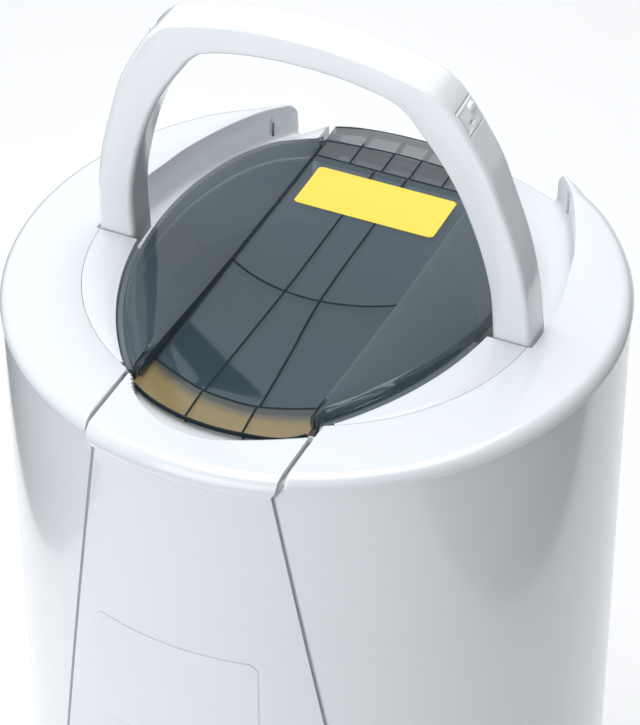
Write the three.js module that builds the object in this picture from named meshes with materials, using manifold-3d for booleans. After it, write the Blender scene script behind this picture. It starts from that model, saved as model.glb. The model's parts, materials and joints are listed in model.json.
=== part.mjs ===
// Laundry spin dryer: an upright cylinder with a see-through hinged lid, a fold-back carrying handle
// and a tall pull lever in the front. Millimetres, Z up, front towards -Y, origin on the drum axis at the
// floor.
import * as THREE from 'three';
import { mergeVertices } from 'three/addons/utils/BufferGeometryUtils.js';
import Module from 'manifold-3d';

const wasm = await Module();
wasm.setup();

// ---- driving dimensions, mm ----
const TOP_Z = 580;            // flat top plane above the floor
const BODY_R = 172.5;         // rim of the top cover
const GAP = 0.3;              // clearance between pieces that are assembled together
const WALL = 3;               // moulded wall
const SHEET = 2.5;            // casing wall
const FORM_K = BODY_R / 172.5; // outlines in plan are drawn for this rim and follow it
const CASING_R = BODY_R - 1;
const CASING_IN_R = CASING_R - SHEET;
const RIM_FILLET = 8;
const RIM_DROP = 6.7;         // depth of the cover's rim over the casing
const SKIRT_DROP = 30;        // locating skirt inside the casing
const RING_SEAM_R = BODY_R - 44.7;    // seam between cover and inner ring
const RECESS_DROP = 24;       // floor of the handle recess below the top plane
const RECESS_FRONT_Y = -10.5;
const LEVER_TOP_HALF = 54.1;  // half width of the lever's top plate
const LEVER_SEAM_HALF = 50.4; // half width of the lever just under the rim
const LEVER_SLOPE = 0.157;    // the lever widens by this much per mm downwards
const LEVER_SEAM = 2;         // open seam beside the lever
const LEVER_BOTTOM_Z = 250;
const LIP_PROUD = 3;
const LID_ARC_R = 199 * FORM_K;        // lid side arcs, centred behind and across the middle
const LID_ARC_X = 98.5 * FORM_K;
const LID_ARC_Y = 18 * FORM_K;
const WELL_CLEAR = 5.6;       // lid edge to the edge of the well
const REAR_WALL = 1;          // outside of the rear well wall beyond the lid edge
const BAND_HALF = 51;
const NECK_Y = -117.8 * FORM_K; // back edge of the lever's top plate
const LID_PIVOT_Y = 131 * FORM_K;
const LID_PIVOT_DROP = 14;
const LID_PIN_R = 2.5;
const HANDLE_PIVOT_Y = -6.03;
const HANDLE_PIVOT_DROP = 4.5;
const HANDLE_LEAN = 5.71;     // degrees, forwards
const HANDLE_AHEAD = 3.5;     // front face ahead of the pivot
const HANDLE_DEPTH = 22.6;
const PIVOT_PIN_R = 2.2;
const LEVER_PIVOT_Y = 24.5 - BODY_R;
const NOSE_Y = -135.5 * FORM_K; // front of the lid
const LATCH_Y = NOSE_Y - 3.1;
const FOOT_CIRCLE_R = BODY_R - 34.5;
const LEVER_PIVOT_Z = 262;
const LEVER_PIN_R = 3;
const FOOT_H = 12;
const PAN_TOP_Z = 40;
const TUB_R = BODY_R - 44.5;
const TUB_BOTTOM_Z = 205;
const TUB_TOP_Z = 546;
const DRUM_R = TUB_R - 14;
const MOUTH_R = DRUM_R - 26;  // drum mouth
const DRUM_BOTTOM_Z = 226;
const DRUM_TOP_Z = 520;
const SHAFT_R = 6;
const RUN = 0.3;              // clearance round the turning shaft
const MOTOR_BOTTOM_Z = 66;
const MOTOR_TOP_Z = 150;
const PLATE_Z = 176;
const PLATE_T = 3;
const POST_CIRCLE_R = TUB_R - 40;
const MOTOR_R = POST_CIRCLE_R - 26;
const OUTLET = 81 * FORM_K;   // tub outlet, this far left and behind the axis
const BRAKE_R = MOTOR_R - 20;
const BRAKE_Z = 158;
const PORT_X = 90 * FORM_K;            // drain spout and cord gland, left and right of the back
const PORT_Y = BODY_R - 46.5; // inner end of the spout
const PORT_Z = 72;
const SHELL_SEGS = 64;        // facets round the big shells
const TUB_SEGS = 32;
const TURNED_SEGS = 20;

// ---- colours ----
const WHITE = 0xe9eef3;
const SMOKE = 0x55606a;
const STEEL = 0xb9bcc0;
const DARK = 0x2b2d30;
const GREY = 0x9a9ea3;
const YELLOW = 0xf5d63f;

// ---- helpers ----
const rad = THREE.MathUtils.degToRad;
const group = new THREE.Group();
const SIMPLIFY = 0.004;        // removes facets too thin to matter

function solid(geometry) {
  const plain = new THREE.BufferGeometry();
  plain.setAttribute('position', geometry.getAttribute('position'));
  if (geometry.index) plain.setIndex(geometry.index);
  const merged = mergeVertices(plain, 1e-4);
  return new wasm.Manifold(new wasm.Mesh({
    numProp: 3,
    vertProperties: new Float32Array(merged.attributes.position.array),
    triVerts: new Uint32Array(merged.index.array),
  }));
}

function add(name, made, colour, roughness = 0.5, metalness = 0) {
  const body = made.simplify(SIMPLIFY);
  const data = body.getMesh();
  const geometry = new THREE.BufferGeometry();
  geometry.setAttribute('position', new THREE.BufferAttribute(new Float32Array(data.vertProperties), 3));
  geometry.setIndex(new THREE.BufferAttribute(new Uint32Array(data.triVerts), 1));
  const flat = geometry.toNonIndexed();
  flat.computeVertexNormals();
  const mesh = new THREE.Mesh(flat, new THREE.MeshStandardMaterial({ color: colour, roughness, metalness }));
  mesh.name = name;
  group.add(mesh);
}

// A solid of revolution about Z from [radius, z] pairs, closed by the last pair meeting the first.
function lathe(pairs, segments = TURNED_SEGS) {
  const points = pairs.map(([r, z]) => new THREE.Vector2(r, z));
  points.push(points[0].clone());
  const geometry = new THREE.LatheGeometry(points, segments);
  geometry.rotateX(Math.PI / 2);
  const made = solid(geometry);
  return made.volume() > 0 ? made : solid(flipped(geometry));
}

function flipped(geometry) {
  const index = Array.from(geometry.index.array);
  for (let i = 0; i < index.length; i += 3) [index[i], index[i + 1]] = [index[i + 1], index[i]];
  geometry.setIndex(index);
  return geometry;
}

const ring = (outer, inner, z0, z1, segments = TURNED_SEGS) => lathe(
  [[inner, z0], [outer, z0], [outer, z1], [inner, z1]], segments);

function cylinder(r, z0, z1, segments = TURNED_SEGS, top = r) {
  const geometry = new THREE.CylinderGeometry(top, r, z1 - z0, segments);
  geometry.rotateX(Math.PI / 2);
  geometry.translate(0, 0, (z0 + z1) / 2);
  return solid(geometry);
}

// A round bar along X or Y between two coordinates.
function bar(axis, r, from, to, a, b, segments = 12) {
  const geometry = new THREE.CylinderGeometry(r, r, to - from, segments);
  const mid = (from + to) / 2;
  if (axis === 'x') {
    geometry.rotateZ(Math.PI / 2);
    geometry.translate(mid, a, b);
  } else {
    geometry.translate(a, mid, b);
  }
  return solid(geometry);
}

function box(x0, x1, y0, y1, z0, z1) {
  const geometry = new THREE.BoxGeometry(x1 - x0, y1 - y0, z1 - z0);
  geometry.translate((x0 + x1) / 2, (y0 + y1) / 2, (z0 + z1) / 2);
  return solid(geometry);
}

// A plan outline of [x, y] pairs raised from z0 to z1.
function prism(outline, z0, z1) {
  const shape = new THREE.Shape(outline.map(([x, y]) => new THREE.Vector2(x, y)));
  const geometry = new THREE.ExtrudeGeometry(shape, { depth: z1 - z0, bevelEnabled: false });
  geometry.translate(0, 0, z0);
  return solid(geometry);
}

// An outline of [y, z] pairs swept along X.
function sideways(outline, x0, x1) {
  const made = prism(outline, x0, x1);
  return made.rotate([90, 0, 90]);
}

// Moves a closed counter-clockwise outline outwards by d.
function grown(outline, d) {
  return outline.map(([x, y], i) => {
    const [px, py] = outline[(i + outline.length - 1) % outline.length];
    const [nx, ny] = outline[(i + 1) % outline.length];
    const a = new THREE.Vector2(y - py, px - x).normalize();
    const b = new THREE.Vector2(ny - y, x - nx).normalize();
    const mid = a.clone().add(b).normalize();
    const reach = d / Math.max(0.35, mid.dot(a));
    return [x + mid.x * reach, y + mid.y * reach];
  });
}

function around(count, place, start = 0) {
  for (let i = 0; i < count; i += 1) place(start + (i * 360) / count, i + 1);
}

const drop = (d) => TOP_Z - d;
const plan = (points) => points.map(([x, y]) => [x * FORM_K, y * FORM_K]);

// ---- plan outlines ----
// Half the lid: the side arc from the front corner, then the round rear corner, up to the band.
function lidSide(reach) {
  const points = [];
  const r = LID_ARC_R + reach;
  for (let at = -104; at <= 41; at += 14.5) {
    const y = at * FORM_K;
    points.push([Math.sqrt(r * r - (y - LID_ARC_Y) ** 2) - LID_ARC_X, y]);
  }
  const corner = [[99.5, 50], [96, 64], [91, 77], [83, 92], [73.5, 105.5], [63, 115]];
  const tail = grown(plan([[100.5, 41], ...corner, [51, 121], [-200, 121], [-200, 41]]), reach);
  for (const point of tail.slice(1, 8)) points.push(point);
  return points;
}

function mirrored(half) {
  const left = half.map(([x, y]) => [-x, y]).reverse();
  return [...half, ...left];
}

function noseArc(reach, steps = 6) {
  const points = [];
  for (let i = 0; i <= steps; i += 1) {
    const x = -49 - reach * 0.6 + ((98 + reach * 1.2) * i) / steps;
    points.push([x, NOSE_Y - reach + 14.5 * (x / 49) ** 2]);
  }
  return points;
}

const lidOutline = (reach) => [...noseArc(reach), ...mirrored(lidSide(reach))];

const RECESS_HALF = [
  [129.6, RECESS_FRONT_Y / FORM_K], [130, 15], [129.2, 30], [126, 48], [123.2, 60], [120.1, 75], [115.3, 90],
  [109.4, 105], [102.8, 120], [95, 135], [84, 150], [82, 156], [86, 190],
];
const recessOutline = () => mirrored(plan(RECESS_HALF));

// ---- outer shell ----
function rimProfile(top) {
  const profile = [];
  for (let i = 0; i <= 4; i += 1) {
    const a = rad(90 - i * 21);
    profile.push([BODY_R - RIM_FILLET + RIM_FILLET * Math.cos(a),
        top - RIM_FILLET + RIM_FILLET * Math.sin(a)]);
  }
  profile.push([BODY_R - 0.05, top - RIM_DROP]);
  return profile;
}

function capRing(top, inner) {
  const skirt = CASING_IN_R - GAP;
  return lathe([
    [inner, top], ...rimProfile(top), [skirt, top - RIM_DROP], [skirt, top - SKIRT_DROP],
    [skirt - SHEET, top - SKIRT_DROP], [skirt - SHEET, top - WALL - 3], [skirt - SHEET - 3, top - WALL],
    [inner, top - WALL],
  ], SHELL_SEGS);
}

function leverCut(extra, z0, z1) {
  const top = drop(RIM_DROP);
  const low = LEVER_SEAM_HALF + LEVER_SLOPE * (top - LEVER_BOTTOM_Z);
  const outline = [[-LEVER_SEAM_HALF - extra, z1], [-LEVER_SEAM_HALF - extra, top]];
  const bottom = LEVER_BOTTOM_Z - (extra > 0 ? 3 : 0);
  outline.push([-low - extra + 2, bottom + 22], [-low - extra + 14, bottom + 6], [-low + 30, bottom]);
  const right = outline.map(([x, z]) => [-x, z]).reverse();
  const flat = [...outline, ...right].map(([x, z]) => [x, Math.max(z, z0)]);
  return prism(flat, BODY_R - 52.5, BODY_R + 17.5).rotate([90, 0, 0]);
}

function topCover() {
  const recess = recessOutline();
  const floorTop = drop(RECESS_DROP);
  const outer = lathe([[0, floorTop - WALL], [BODY_R - 0.05, floorTop - WALL],
    ...rimProfile(TOP_Z).reverse(), [0, TOP_Z]], SHELL_SEGS);
  const high = capRing(TOP_Z, 100).subtract(prism(recess, drop(80), TOP_Z + 1));
  const wall = prism(grown(recess, WALL), floorTop - WALL, TOP_Z + 1)
    .subtract(prism(recess, floorTop - WALL - 1, TOP_Z + 2)).intersect(outer);
  const skirtCut = CASING_R + GAP;
  const wallInside = wall.subtract(ring(BODY_R + 5, CASING_IN_R - GAP, drop(60), drop(RIM_DROP), SHELL_SEGS));
  const low = capRing(floorTop, 60).intersect(prism(recess, drop(90), TOP_Z + 1));
  let cover = high.add(wallInside).add(low);
  // the middle is open for the inner ring
  const well = lidOutline(REAR_WALL + GAP);
  cover = cover.subtract(prism(well, drop(100), TOP_Z + 5));
  cover = cover.subtract(cylinder(RING_SEAM_R, drop(100), TOP_Z + 5, SHELL_SEGS)
    .intersect(box(-BODY_R, BODY_R, -BODY_R, RECESS_FRONT_Y - 0.02, drop(100), TOP_Z + 5)));
  cover = cover.subtract(box(-LEVER_TOP_HALF - 2.5, LEVER_TOP_HALF + 2.5, -BODY_R - 9, -100 * FORM_K,
      drop(100), TOP_Z + 5));
  // hinge pocket behind the lid
  const pocketY = 153 * FORM_K;
  cover = cover.subtract(box(-66, 66, 110 * FORM_K, pocketY, drop(70), drop(20)));
  const pocket = box(-69, 69, 119 * FORM_K, pocketY + WALL, drop(30.8), floorTop - 0.5)
    .intersect(cylinder(CASING_IN_R - GAP, drop(60), TOP_Z, SHELL_SEGS))
    .subtract(box(-66, 66, 100 * FORM_K, pocketY, drop(28), TOP_Z))
    .subtract(prism(well, drop(100), TOP_Z + 5));
  cover = cover.add(pocket);
  const legX = 129 * FORM_K;
  for (const side of [-1, 1]) {
    const x = side * 57;
    const lug = box(x - 2, x + 2, LID_PIVOT_Y - 5, LID_PIVOT_Y + 5, drop(30), drop(LID_PIVOT_DROP - 5.5));
    cover = cover.add(lug.subtract(bar('x', LID_PIN_R + GAP, x - 5, x + 5, LID_PIVOT_Y,
        drop(LID_PIVOT_DROP))));
    const slot = box(-11, 11, -1.8, 1.8, drop(21.8), drop(12.7)).rotate([0, 0, side * 14]);
    cover = cover.subtract(slot.translate([side * 92 * FORM_K, 139 * FORM_K, 0]));
    // blind sockets for the handle pins, outboard of the legs
    const socket = box(legX + 0.4, legX + 10, -12, 6, drop(RECESS_DROP + WALL), drop(1));
    const hole = bar('x', PIVOT_PIN_R + 0.15, legX - 9, legX + 7, HANDLE_PIVOT_Y, drop(HANDLE_PIVOT_DROP));
    cover = cover.add(side > 0 ? socket : socket.mirror([1, 0, 0]));
    cover = cover.subtract(side > 0 ? hole : hole.mirror([1, 0, 0]));
  }
  return cover;
}

function outerCasing() {
  const top = drop(RIM_DROP + GAP);
  let casing = ring(CASING_R, CASING_IN_R, PAN_TOP_Z + GAP, top, SHELL_SEGS);
  const rear = recessOutline().map(([x, y]) => [x, Math.max(y, 100 * FORM_K)]);
  casing = casing.subtract(prism(grown(rear, WALL + GAP), drop(RECESS_DROP + RIM_DROP + GAP), TOP_Z));
  casing = casing.subtract(leverCut(LEVER_SEAM, LEVER_BOTTOM_Z - 3, TOP_Z + 5));
  casing = casing.subtract(box(-LEVER_TOP_HALF - 1.5, LEVER_TOP_HALF + 1.5, -BODY_R - 9, -100, drop(15.5),
      TOP_Z + 5));
  casing = casing.subtract(bar('y', 11, 100, BODY_R + 20, -PORT_X, PORT_Z));
  casing = casing.subtract(bar('y', 7.4, 100, BODY_R + 20, PORT_X, PORT_Z));
  around(4, (angle) => {
    casing = casing.subtract(bar('x', 2.3, BODY_R - 22, BODY_R + 8, 0, PAN_TOP_Z + 9, 16)
        .rotate([0, 0, angle]));
  }, 45);
  return casing;
}

function basePan() {
  let pan = lathe([
    [0, FOOT_H + GAP], [BODY_R - 8, FOOT_H + GAP], [BODY_R, FOOT_H + 8], [BODY_R, PAN_TOP_Z],
    [CASING_IN_R - GAP, PAN_TOP_Z], [CASING_IN_R - GAP, PAN_TOP_Z + 16],
[CASING_IN_R - GAP - SHEET, PAN_TOP_Z + 16],
    [CASING_IN_R - GAP - SHEET, FOOT_H + 9], [BODY_R - 12, FOOT_H + GAP + WALL], [0, FOOT_H + GAP + WALL],
  ], TUB_SEGS);
  around(4, (angle) => {
    pan = pan.subtract(bar('x', 2.3, BODY_R - 22, BODY_R + 8, 0, PAN_TOP_Z + 9, 16).rotate([0, 0, angle]));
  }, 45);
  // water that gets past the shaft leaves through two slots
  pan = pan.subtract(box(-70, -30, 46.5 - BODY_R, 54.5 - BODY_R, 0, 30))
    .subtract(box(30, 70, 46.5 - BODY_R, 54.5 - BODY_R, 0, 30));
  return pan;
}

function foot() {
  return lathe([[0, 0], [15, 0], [17, 2.5], [15, FOOT_H], [0, FOOT_H]], 24);
}

// ---- inner ring, the well under the lid ----
function innerRing() {
  const well = lidOutline(WELL_CLEAR);
  const floorTop = drop(RECESS_DROP + 2);
  const frontHalf = box(-BODY_R, BODY_R, -BODY_R, RECESS_FRONT_Y - GAP, drop(60), TOP_Z + 1);
  const plate = cylinder(RING_SEAM_R - GAP, drop(WALL), TOP_Z, SHELL_SEGS);
  const fence = prism(grown(well, WALL), floorTop - WALL, TOP_Z)
    .intersect(cylinder(RING_SEAM_R - GAP, drop(60), TOP_Z + 1, SHELL_SEGS));
  const apron = box(-RING_SEAM_R, RING_SEAM_R, RECESS_FRONT_Y - GAP - WALL, RECESS_FRONT_Y - GAP,
      floorTop - WALL, TOP_Z - 1)
    .intersect(cylinder(RING_SEAM_R - GAP, drop(60), TOP_Z + 1, SHELL_SEGS));
  const front = plate.add(fence).intersect(frontHalf).subtract(prism(well, floorTop, TOP_Z + 1));
  // behind the handle the wall is low and runs under the lid's own skirt
  const rear = prism(lidOutline(REAR_WALL), floorTop - WALL, drop(12.8))
    .intersect(box(-BODY_R, BODY_R, RECESS_FRONT_Y - GAP - WALL, BODY_R, drop(60), TOP_Z));
  let made = front.add(apron.subtract(prism(lidOutline(1), drop(12.8), TOP_Z + 1))).add(rear);
  made = made.subtract(prism(lidOutline(REAR_WALL - 2.6), floorTop, TOP_Z + 1));
  made = made.subtract(cylinder(MOUTH_R, drop(60), TOP_Z, TUB_SEGS));
  made = made.add(ring(MOUTH_R + WALL, MOUTH_R, drop(RECESS_DROP + 16), floorTop - 0.5, TUB_SEGS));
  made = made.subtract(box(-LEVER_TOP_HALF - 2.5, LEVER_TOP_HALF + 2.5, -BODY_R, NECK_Y + 0.8, drop(100),
      TOP_Z + 5));
  // the lid's hinge arms leave through the back
  made = made.subtract(box(-56, 56, 114 * FORM_K, BODY_R, drop(RECESS_DROP + 2), TOP_Z + 1));
  return made;
}

// ---- front lever ----
function scoop() {
  const outline = [[-52.6, -123.5], [-45, -129], [-29, -142], [-11, -149], [6, -150], [16, -147], [30, -143],
    [44, -136], [52.6, -131], [52.6, -112], [-52.6, -112]];
  return prism(plan(outline), drop(9), TOP_Z + 1);
}

function frontLever() {
  const lip = lathe([
    [100, drop(WALL)], [100, TOP_Z], [BODY_R + LIP_PROUD - 10, TOP_Z], [BODY_R + LIP_PROUD - 5, TOP_Z - 1.2],
    [BODY_R + LIP_PROUD - 1.6, TOP_Z - 4], [BODY_R + LIP_PROUD, TOP_Z - 8],
    [BODY_R + LIP_PROUD - 1, TOP_Z - 11.4], [CASING_R, TOP_Z - 14], [CASING_IN_R, TOP_Z - 14],
    [CASING_IN_R, drop(WALL + 2)], [CASING_IN_R - 3, drop(WALL)],
  ], SHELL_SEGS).intersect(box(-LEVER_TOP_HALF, LEVER_TOP_HALF, -BODY_R - 9, NECK_Y, drop(30), TOP_Z + 1));
  const skin = ring(CASING_R, CASING_IN_R, LEVER_BOTTOM_Z - 1, drop(10), SHELL_SEGS)
    .intersect(leverCut(0, LEVER_BOTTOM_Z, TOP_Z + 1));
  const shelf = box(-52, 52, 18.5 - BODY_R, NECK_Y, drop(12.2), drop(WALL - 0.5));
  let made = lip.add(skin).add(shelf.intersect(cylinder(CASING_R, drop(20), TOP_Z, SHELL_SEGS)));
  made = made.subtract(scoop());
  made = made.subtract(box(-11, 11, LATCH_Y + 1, LATCH_Y + 28, drop(14), drop(8)));
  // two deep stiffening ribs down the back of the panel, ending in the pivot ears
  for (const x of [-46, 46]) {
    const rib = box(x - 1.5, x + 1.5, 3.5 - BODY_R, 19 - BODY_R, LEVER_BOTTOM_Z + 4, drop(6));
    made = made.add(rib.intersect(cylinder(CASING_R - 1, 0, TOP_Z, SHELL_SEGS)));
    const ear = box(x - 2.5, x + 2.5, 4.5 - BODY_R, LEVER_PIVOT_Y + 6, LEVER_BOTTOM_Z + 4, LEVER_PIVOT_Z + 8);
    made = made.add(ear.intersect(cylinder(CASING_R - 1, 0, TOP_Z, SHELL_SEGS)));
    made = made.subtract(bar('x', LEVER_PIN_R + GAP, x - 6, x + 6, LEVER_PIVOT_Y, LEVER_PIVOT_Z));
  }
  return made;
}

function leverBracket() {
  const r = CASING_IN_R - GAP;
  let made = ring(r, r - SHEET, 216, LEVER_BOTTOM_Z - 6, SHELL_SEGS)
      .intersect(box(-78, 78, -BODY_R, -BODY_R / 2, 200, 260));
  for (const side of [-1, 1]) {
    const x = side * 60;
    const top = LEVER_PIVOT_Z + (side > 0 ? 40 : 8);
    const low = box(x - 1.5, x + 1.5, 11.5 - BODY_R, LEVER_PIVOT_Y + 8, 218, LEVER_BOTTOM_Z - 6);
    const ear = box(x - 1.5, x + 1.5, LEVER_PIVOT_Y - 5, LEVER_PIVOT_Y + 8, 240, top);
    made = made.add(low.intersect(cylinder(r, 200, 400, SHELL_SEGS))).add(ear);
    made = made.subtract(bar('x', LEVER_PIN_R + 0.15, x - 6, x + 6, LEVER_PIVOT_Y, LEVER_PIVOT_Z));
  }
  return made;
}

const leverRod = () => bar('x', LEVER_PIN_R, -66, 66, LEVER_PIVOT_Y, LEVER_PIVOT_Z);

function leverSpring() {
  const sleeve = bar('x', 6, 10, 30, LEVER_PIVOT_Y, LEVER_PIVOT_Z, 20)
    .subtract(bar('x', LEVER_PIN_R + 0.8, 5, 35, LEVER_PIVOT_Y, LEVER_PIVOT_Z, 20));
  const leg = box(11, 13, LEVER_PIVOT_Y - 6, LEVER_PIVOT_Y - 4, 226, LEVER_PIVOT_Z);
  const toe = box(11, 13, 9.1 - BODY_R, LEVER_PIVOT_Y - 4, 224, 226.5);
  const arm = box(27, 29, LEVER_PIVOT_Y - 6, LEVER_PIVOT_Y - 4, LEVER_PIVOT_Z, 292);
  return sleeve.add(leg).add(toe).add(arm);
}

function latchHook() {
  const blade = box(-9, 9, LATCH_Y - 2.4, LATCH_Y, drop(25), drop(12.2 + GAP));
  const head = box(-9, 9, LATCH_Y - 2.4, LATCH_Y + 2.8, drop(24.2), drop(21));
  return blade.add(head);
}

const SWITCH_X = 53.3;
const SWITCH_Z = LEVER_PIVOT_Z + 26;

function microSwitch() {
  const body = box(SWITCH_X - 4.5, SWITCH_X + 4.8, 21 - BODY_R, 38.5 - BODY_R, SWITCH_Z - 11, SWITCH_Z + 12);
  return body.subtract(bar('y', 2.4, 12.5 - BODY_R, 27.5 - BODY_R, SWITCH_X, SWITCH_Z));
}

const switchPlunger = () => bar('y', 2, 13.1 - BODY_R, 26.5 - BODY_R, SWITCH_X, SWITCH_Z);

// ---- handle ----
// height above the top plane to the distance from the pivot, along the leaning arch
const handleW = (z) => 1.005 * (z + HANDLE_PIVOT_DROP) + 0.35;

function handleOuter() {
  const side = [[129, -3], [128.6, 6], [126.5, 30], [120.3, 60], [111, 90], [105.2, 110], [95, 130],
      [89.7, 140],
    [83.6, 149], [74, 156.2], [56, 161.5], [34, 165.8], [12, 167.9]];
  return plan(side).map(([x, z]) => [x, handleW(z)]);
}

function handleInner() {
  const side = [[107, -3], [106.6, 6], [105.7, 30], [99.3, 60], [89.2, 90], [79.1, 110], [66.5, 129],
      [60, 137],
    [51, 142.6], [34, 146.6], [12, 149.3]];
  return plan(side).map(([x, z]) => [x, handleW(z)]);
}

function carryHandle() {
  const outer = handleOuter();
  const inner = handleInner();
  const bevel = 2.4;
  const foot = -7;
  const loop = [
    [outer[0][0], foot], ...outer, ...outer.map(([x, w]) => [-x, w]).reverse(), [-outer[0][0], foot],
    [-inner[0][0], foot], ...inner.map(([x, w]) => [-x, w]), ...[...inner].reverse(), [inner[0][0], foot],
  ];
  const shape = new THREE.Shape(loop.map(([x, w]) => new THREE.Vector2(x, w)));
  const geometry = new THREE.ExtrudeGeometry(shape, {
    depth: HANDLE_DEPTH - 2 * bevel, bevelEnabled: true, bevelThickness: bevel, bevelSize: bevel,
    bevelOffset: -bevel, bevelSegments: 2,
  });
  // shape x,w in the plane of the arch; the depth runs from front (-) to back (+)
  geometry.rotateX(Math.PI / 2);
  geometry.translate(0, HANDLE_DEPTH - bevel - HANDLE_AHEAD, 0);
  let made = solid(geometry);
  // leg ends: round in front of the pin, chamfered behind, so they turn inside the recess
  const back = HANDLE_DEPTH - HANDLE_AHEAD;
  const end = [[-HANDLE_AHEAD - 1, -12], [HANDLE_DEPTH, -12], [HANDLE_DEPTH, -1.4], [back, -1.4],
      [back - 1.4, -4.1],
    [0, -4.1], [-1.6, -3.78], [-2.9, -2.9], [-HANDLE_AHEAD, -2], [-HANDLE_AHEAD - 1, -2]];
  made = made.subtract(sideways(end, -BODY_R, BODY_R));
  made = made.subtract(bar('x', PIVOT_PIN_R + GAP, -BODY_R, BODY_R, 0, 0));
  // sprung tongue and its nub high on each outer side
  for (const side of [-1, 1]) {
    const turn = (body) => body.rotate([0, side * -29, 0])
        .translate([side * 91.6 * FORM_K, 0, handleW(137 * FORM_K)]);
    for (const w of [-10.5, 10.5]) {
      made = made.subtract(turn(box(-2.5, 9, 3.3, 30, w - 1, w + 1).scale([side, 1, 1])));
    }
    const bump = cylinder(4.2, -1.5, 1, 12, 3.2).rotate([0, side * 90, 0]).scale([1, 0.8, 1.2]);
    made = made.add(turn(bump.translate([0, 12.6, 0])));
  }
  return made.rotate([HANDLE_LEAN, 0, 0]).translate([0, HANDLE_PIVOT_Y, drop(HANDLE_PIVOT_DROP)]);
}

function handlePin(side) {
  const pin = bar('x', PIVOT_PIN_R, 108 * FORM_K, 129 * FORM_K + 6.6, HANDLE_PIVOT_Y,
      drop(HANDLE_PIVOT_DROP));
  return side > 0 ? pin : pin.mirror([1, 0, 0]);
}

// ---- lid ----
function lidShell() {
  const brim = prism(lidOutline(WELL_CLEAR - 1.6), drop(3.2), drop(1.2))
    .intersect(box(-BODY_R, BODY_R, NECK_Y + 5.8, RECESS_FRONT_Y - WALL - 1, drop(10), TOP_Z));
  const body = prism(lidOutline(0), drop(12), TOP_Z + 1);
  const hollow = prism(lidOutline(-2.4), drop(13), drop(1.4));
  return body.subtract(hollow).add(brim);
}

function lid() {
  let made = lidShell();
  // the skirt is shallow over the lever's shelf and the lobes stop short of the lever
  made = made.subtract(box(-120, 120, -BODY_R, -103 * FORM_K, drop(40), drop(7.4)));
  for (const x of [BAND_HALF, -120]) {
    made = made.subtract(box(x, x + 120 - BAND_HALF, -BODY_R, NECK_Y + 1.2, drop(40), TOP_Z + 10));
  }
  // sunken middle band
  const band = box(-BAND_HALF, BAND_HALF, -BODY_R, 122 * FORM_K, drop(3.5), TOP_Z + 4);
  made = made.subtract(band);
  const tail = [[49, 137], [28, 141], [0, 144], [-28, 141], [-49, 137]].map(([x, y]) => [x, y * FORM_K]);
  const plate = prism([...noseArc(0), [BAND_HALF, NECK_Y - 0.2], [BAND_HALF, 128 * FORM_K], ...tail,
    [-BAND_HALF, 128 * FORM_K], [-BAND_HALF, NECK_Y - 0.2]], drop(6), drop(3.5));
  made = made.add(plate);
  for (const side of [-1, 1]) {
    const x = side * BAND_HALF;
    made = made.add(box(x - 1.2, x + 1.2, NECK_Y + 1.8, 121 * FORM_K, drop(6.5), TOP_Z + 0.6));
    // hinge arm
    const arm = box(side * 50 - 3.2, side * 50 + 3.2, 118 * FORM_K, LID_PIVOT_Y + 5.4,
        drop(LID_PIVOT_DROP + 5), drop(4));
    made = made.add(arm);
    made = made.subtract(bar('x', LID_PIN_R + GAP, side * 50 - 6, side * 50 + 6, LID_PIVOT_Y,
        drop(LID_PIVOT_DROP)));
  }
  // cross rails at the front, the back and the arc in the middle
  made = made.add(box(-50, 50, -101, -99, drop(6.5), drop(2.2)));
  made = made.add(box(-50, 50, 104.5, 106.5, drop(6.5), drop(2.2)));
  made = made.add(box(-50, 50, 123.5, 125.5, drop(6.5), drop(2.2)));
  for (const x of [-12.5, 12.5]) {
    made = made.add(box(x - 0.8, x + 0.8, -100, 104, drop(6.5), drop(2.6)));
  }
  for (const x of [-28.5, -8.5, 8.5, 28.5]) {
    made = made.add(box(x - 0.8, x + 0.8, 125, 139, drop(6.5), drop(2.4)));
  }
  return made;
}

const lidPin = () => bar('x', LID_PIN_R, -60.5, 60.5, LID_PIVOT_Y, drop(LID_PIVOT_DROP), 20);

const lidCatch = () => box(-8, 8, LATCH_Y + 7.2, LATCH_Y + 9.6, drop(27.6), drop(6 + GAP))
  .add(box(-8, 8, LATCH_Y + 3.8, LATCH_Y + 9.6, drop(27.6), drop(24.6)));

function label(x0, x1, y0, y1, z, thick) {
  const r = 3;
  const outline = [[x0 + r, y0], [x1 - r, y0], [x1 - 0.9, y0 + 0.9], [x1, y0 + r], [x1, y1 - r],
      [x1 - 0.9, y1 - 0.9],
    [x1 - r, y1], [x0 + r, y1], [x0 + 0.9, y1 - 0.9], [x0, y1 - r], [x0, y0 + r], [x0 + 0.9, y0 + 0.9]];
  return prism(outline, z, z + thick);
}

function frontLabel() {
  const r = CASING_R + 0.1;
  const shape = label(-57, 42.5, drop(205), drop(128), BODY_R - 22.5, 40).rotate([90, 0, 0]);
  return ring(r + 0.4, r, drop(210), drop(120), SHELL_SEGS).intersect(shape);
}

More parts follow.
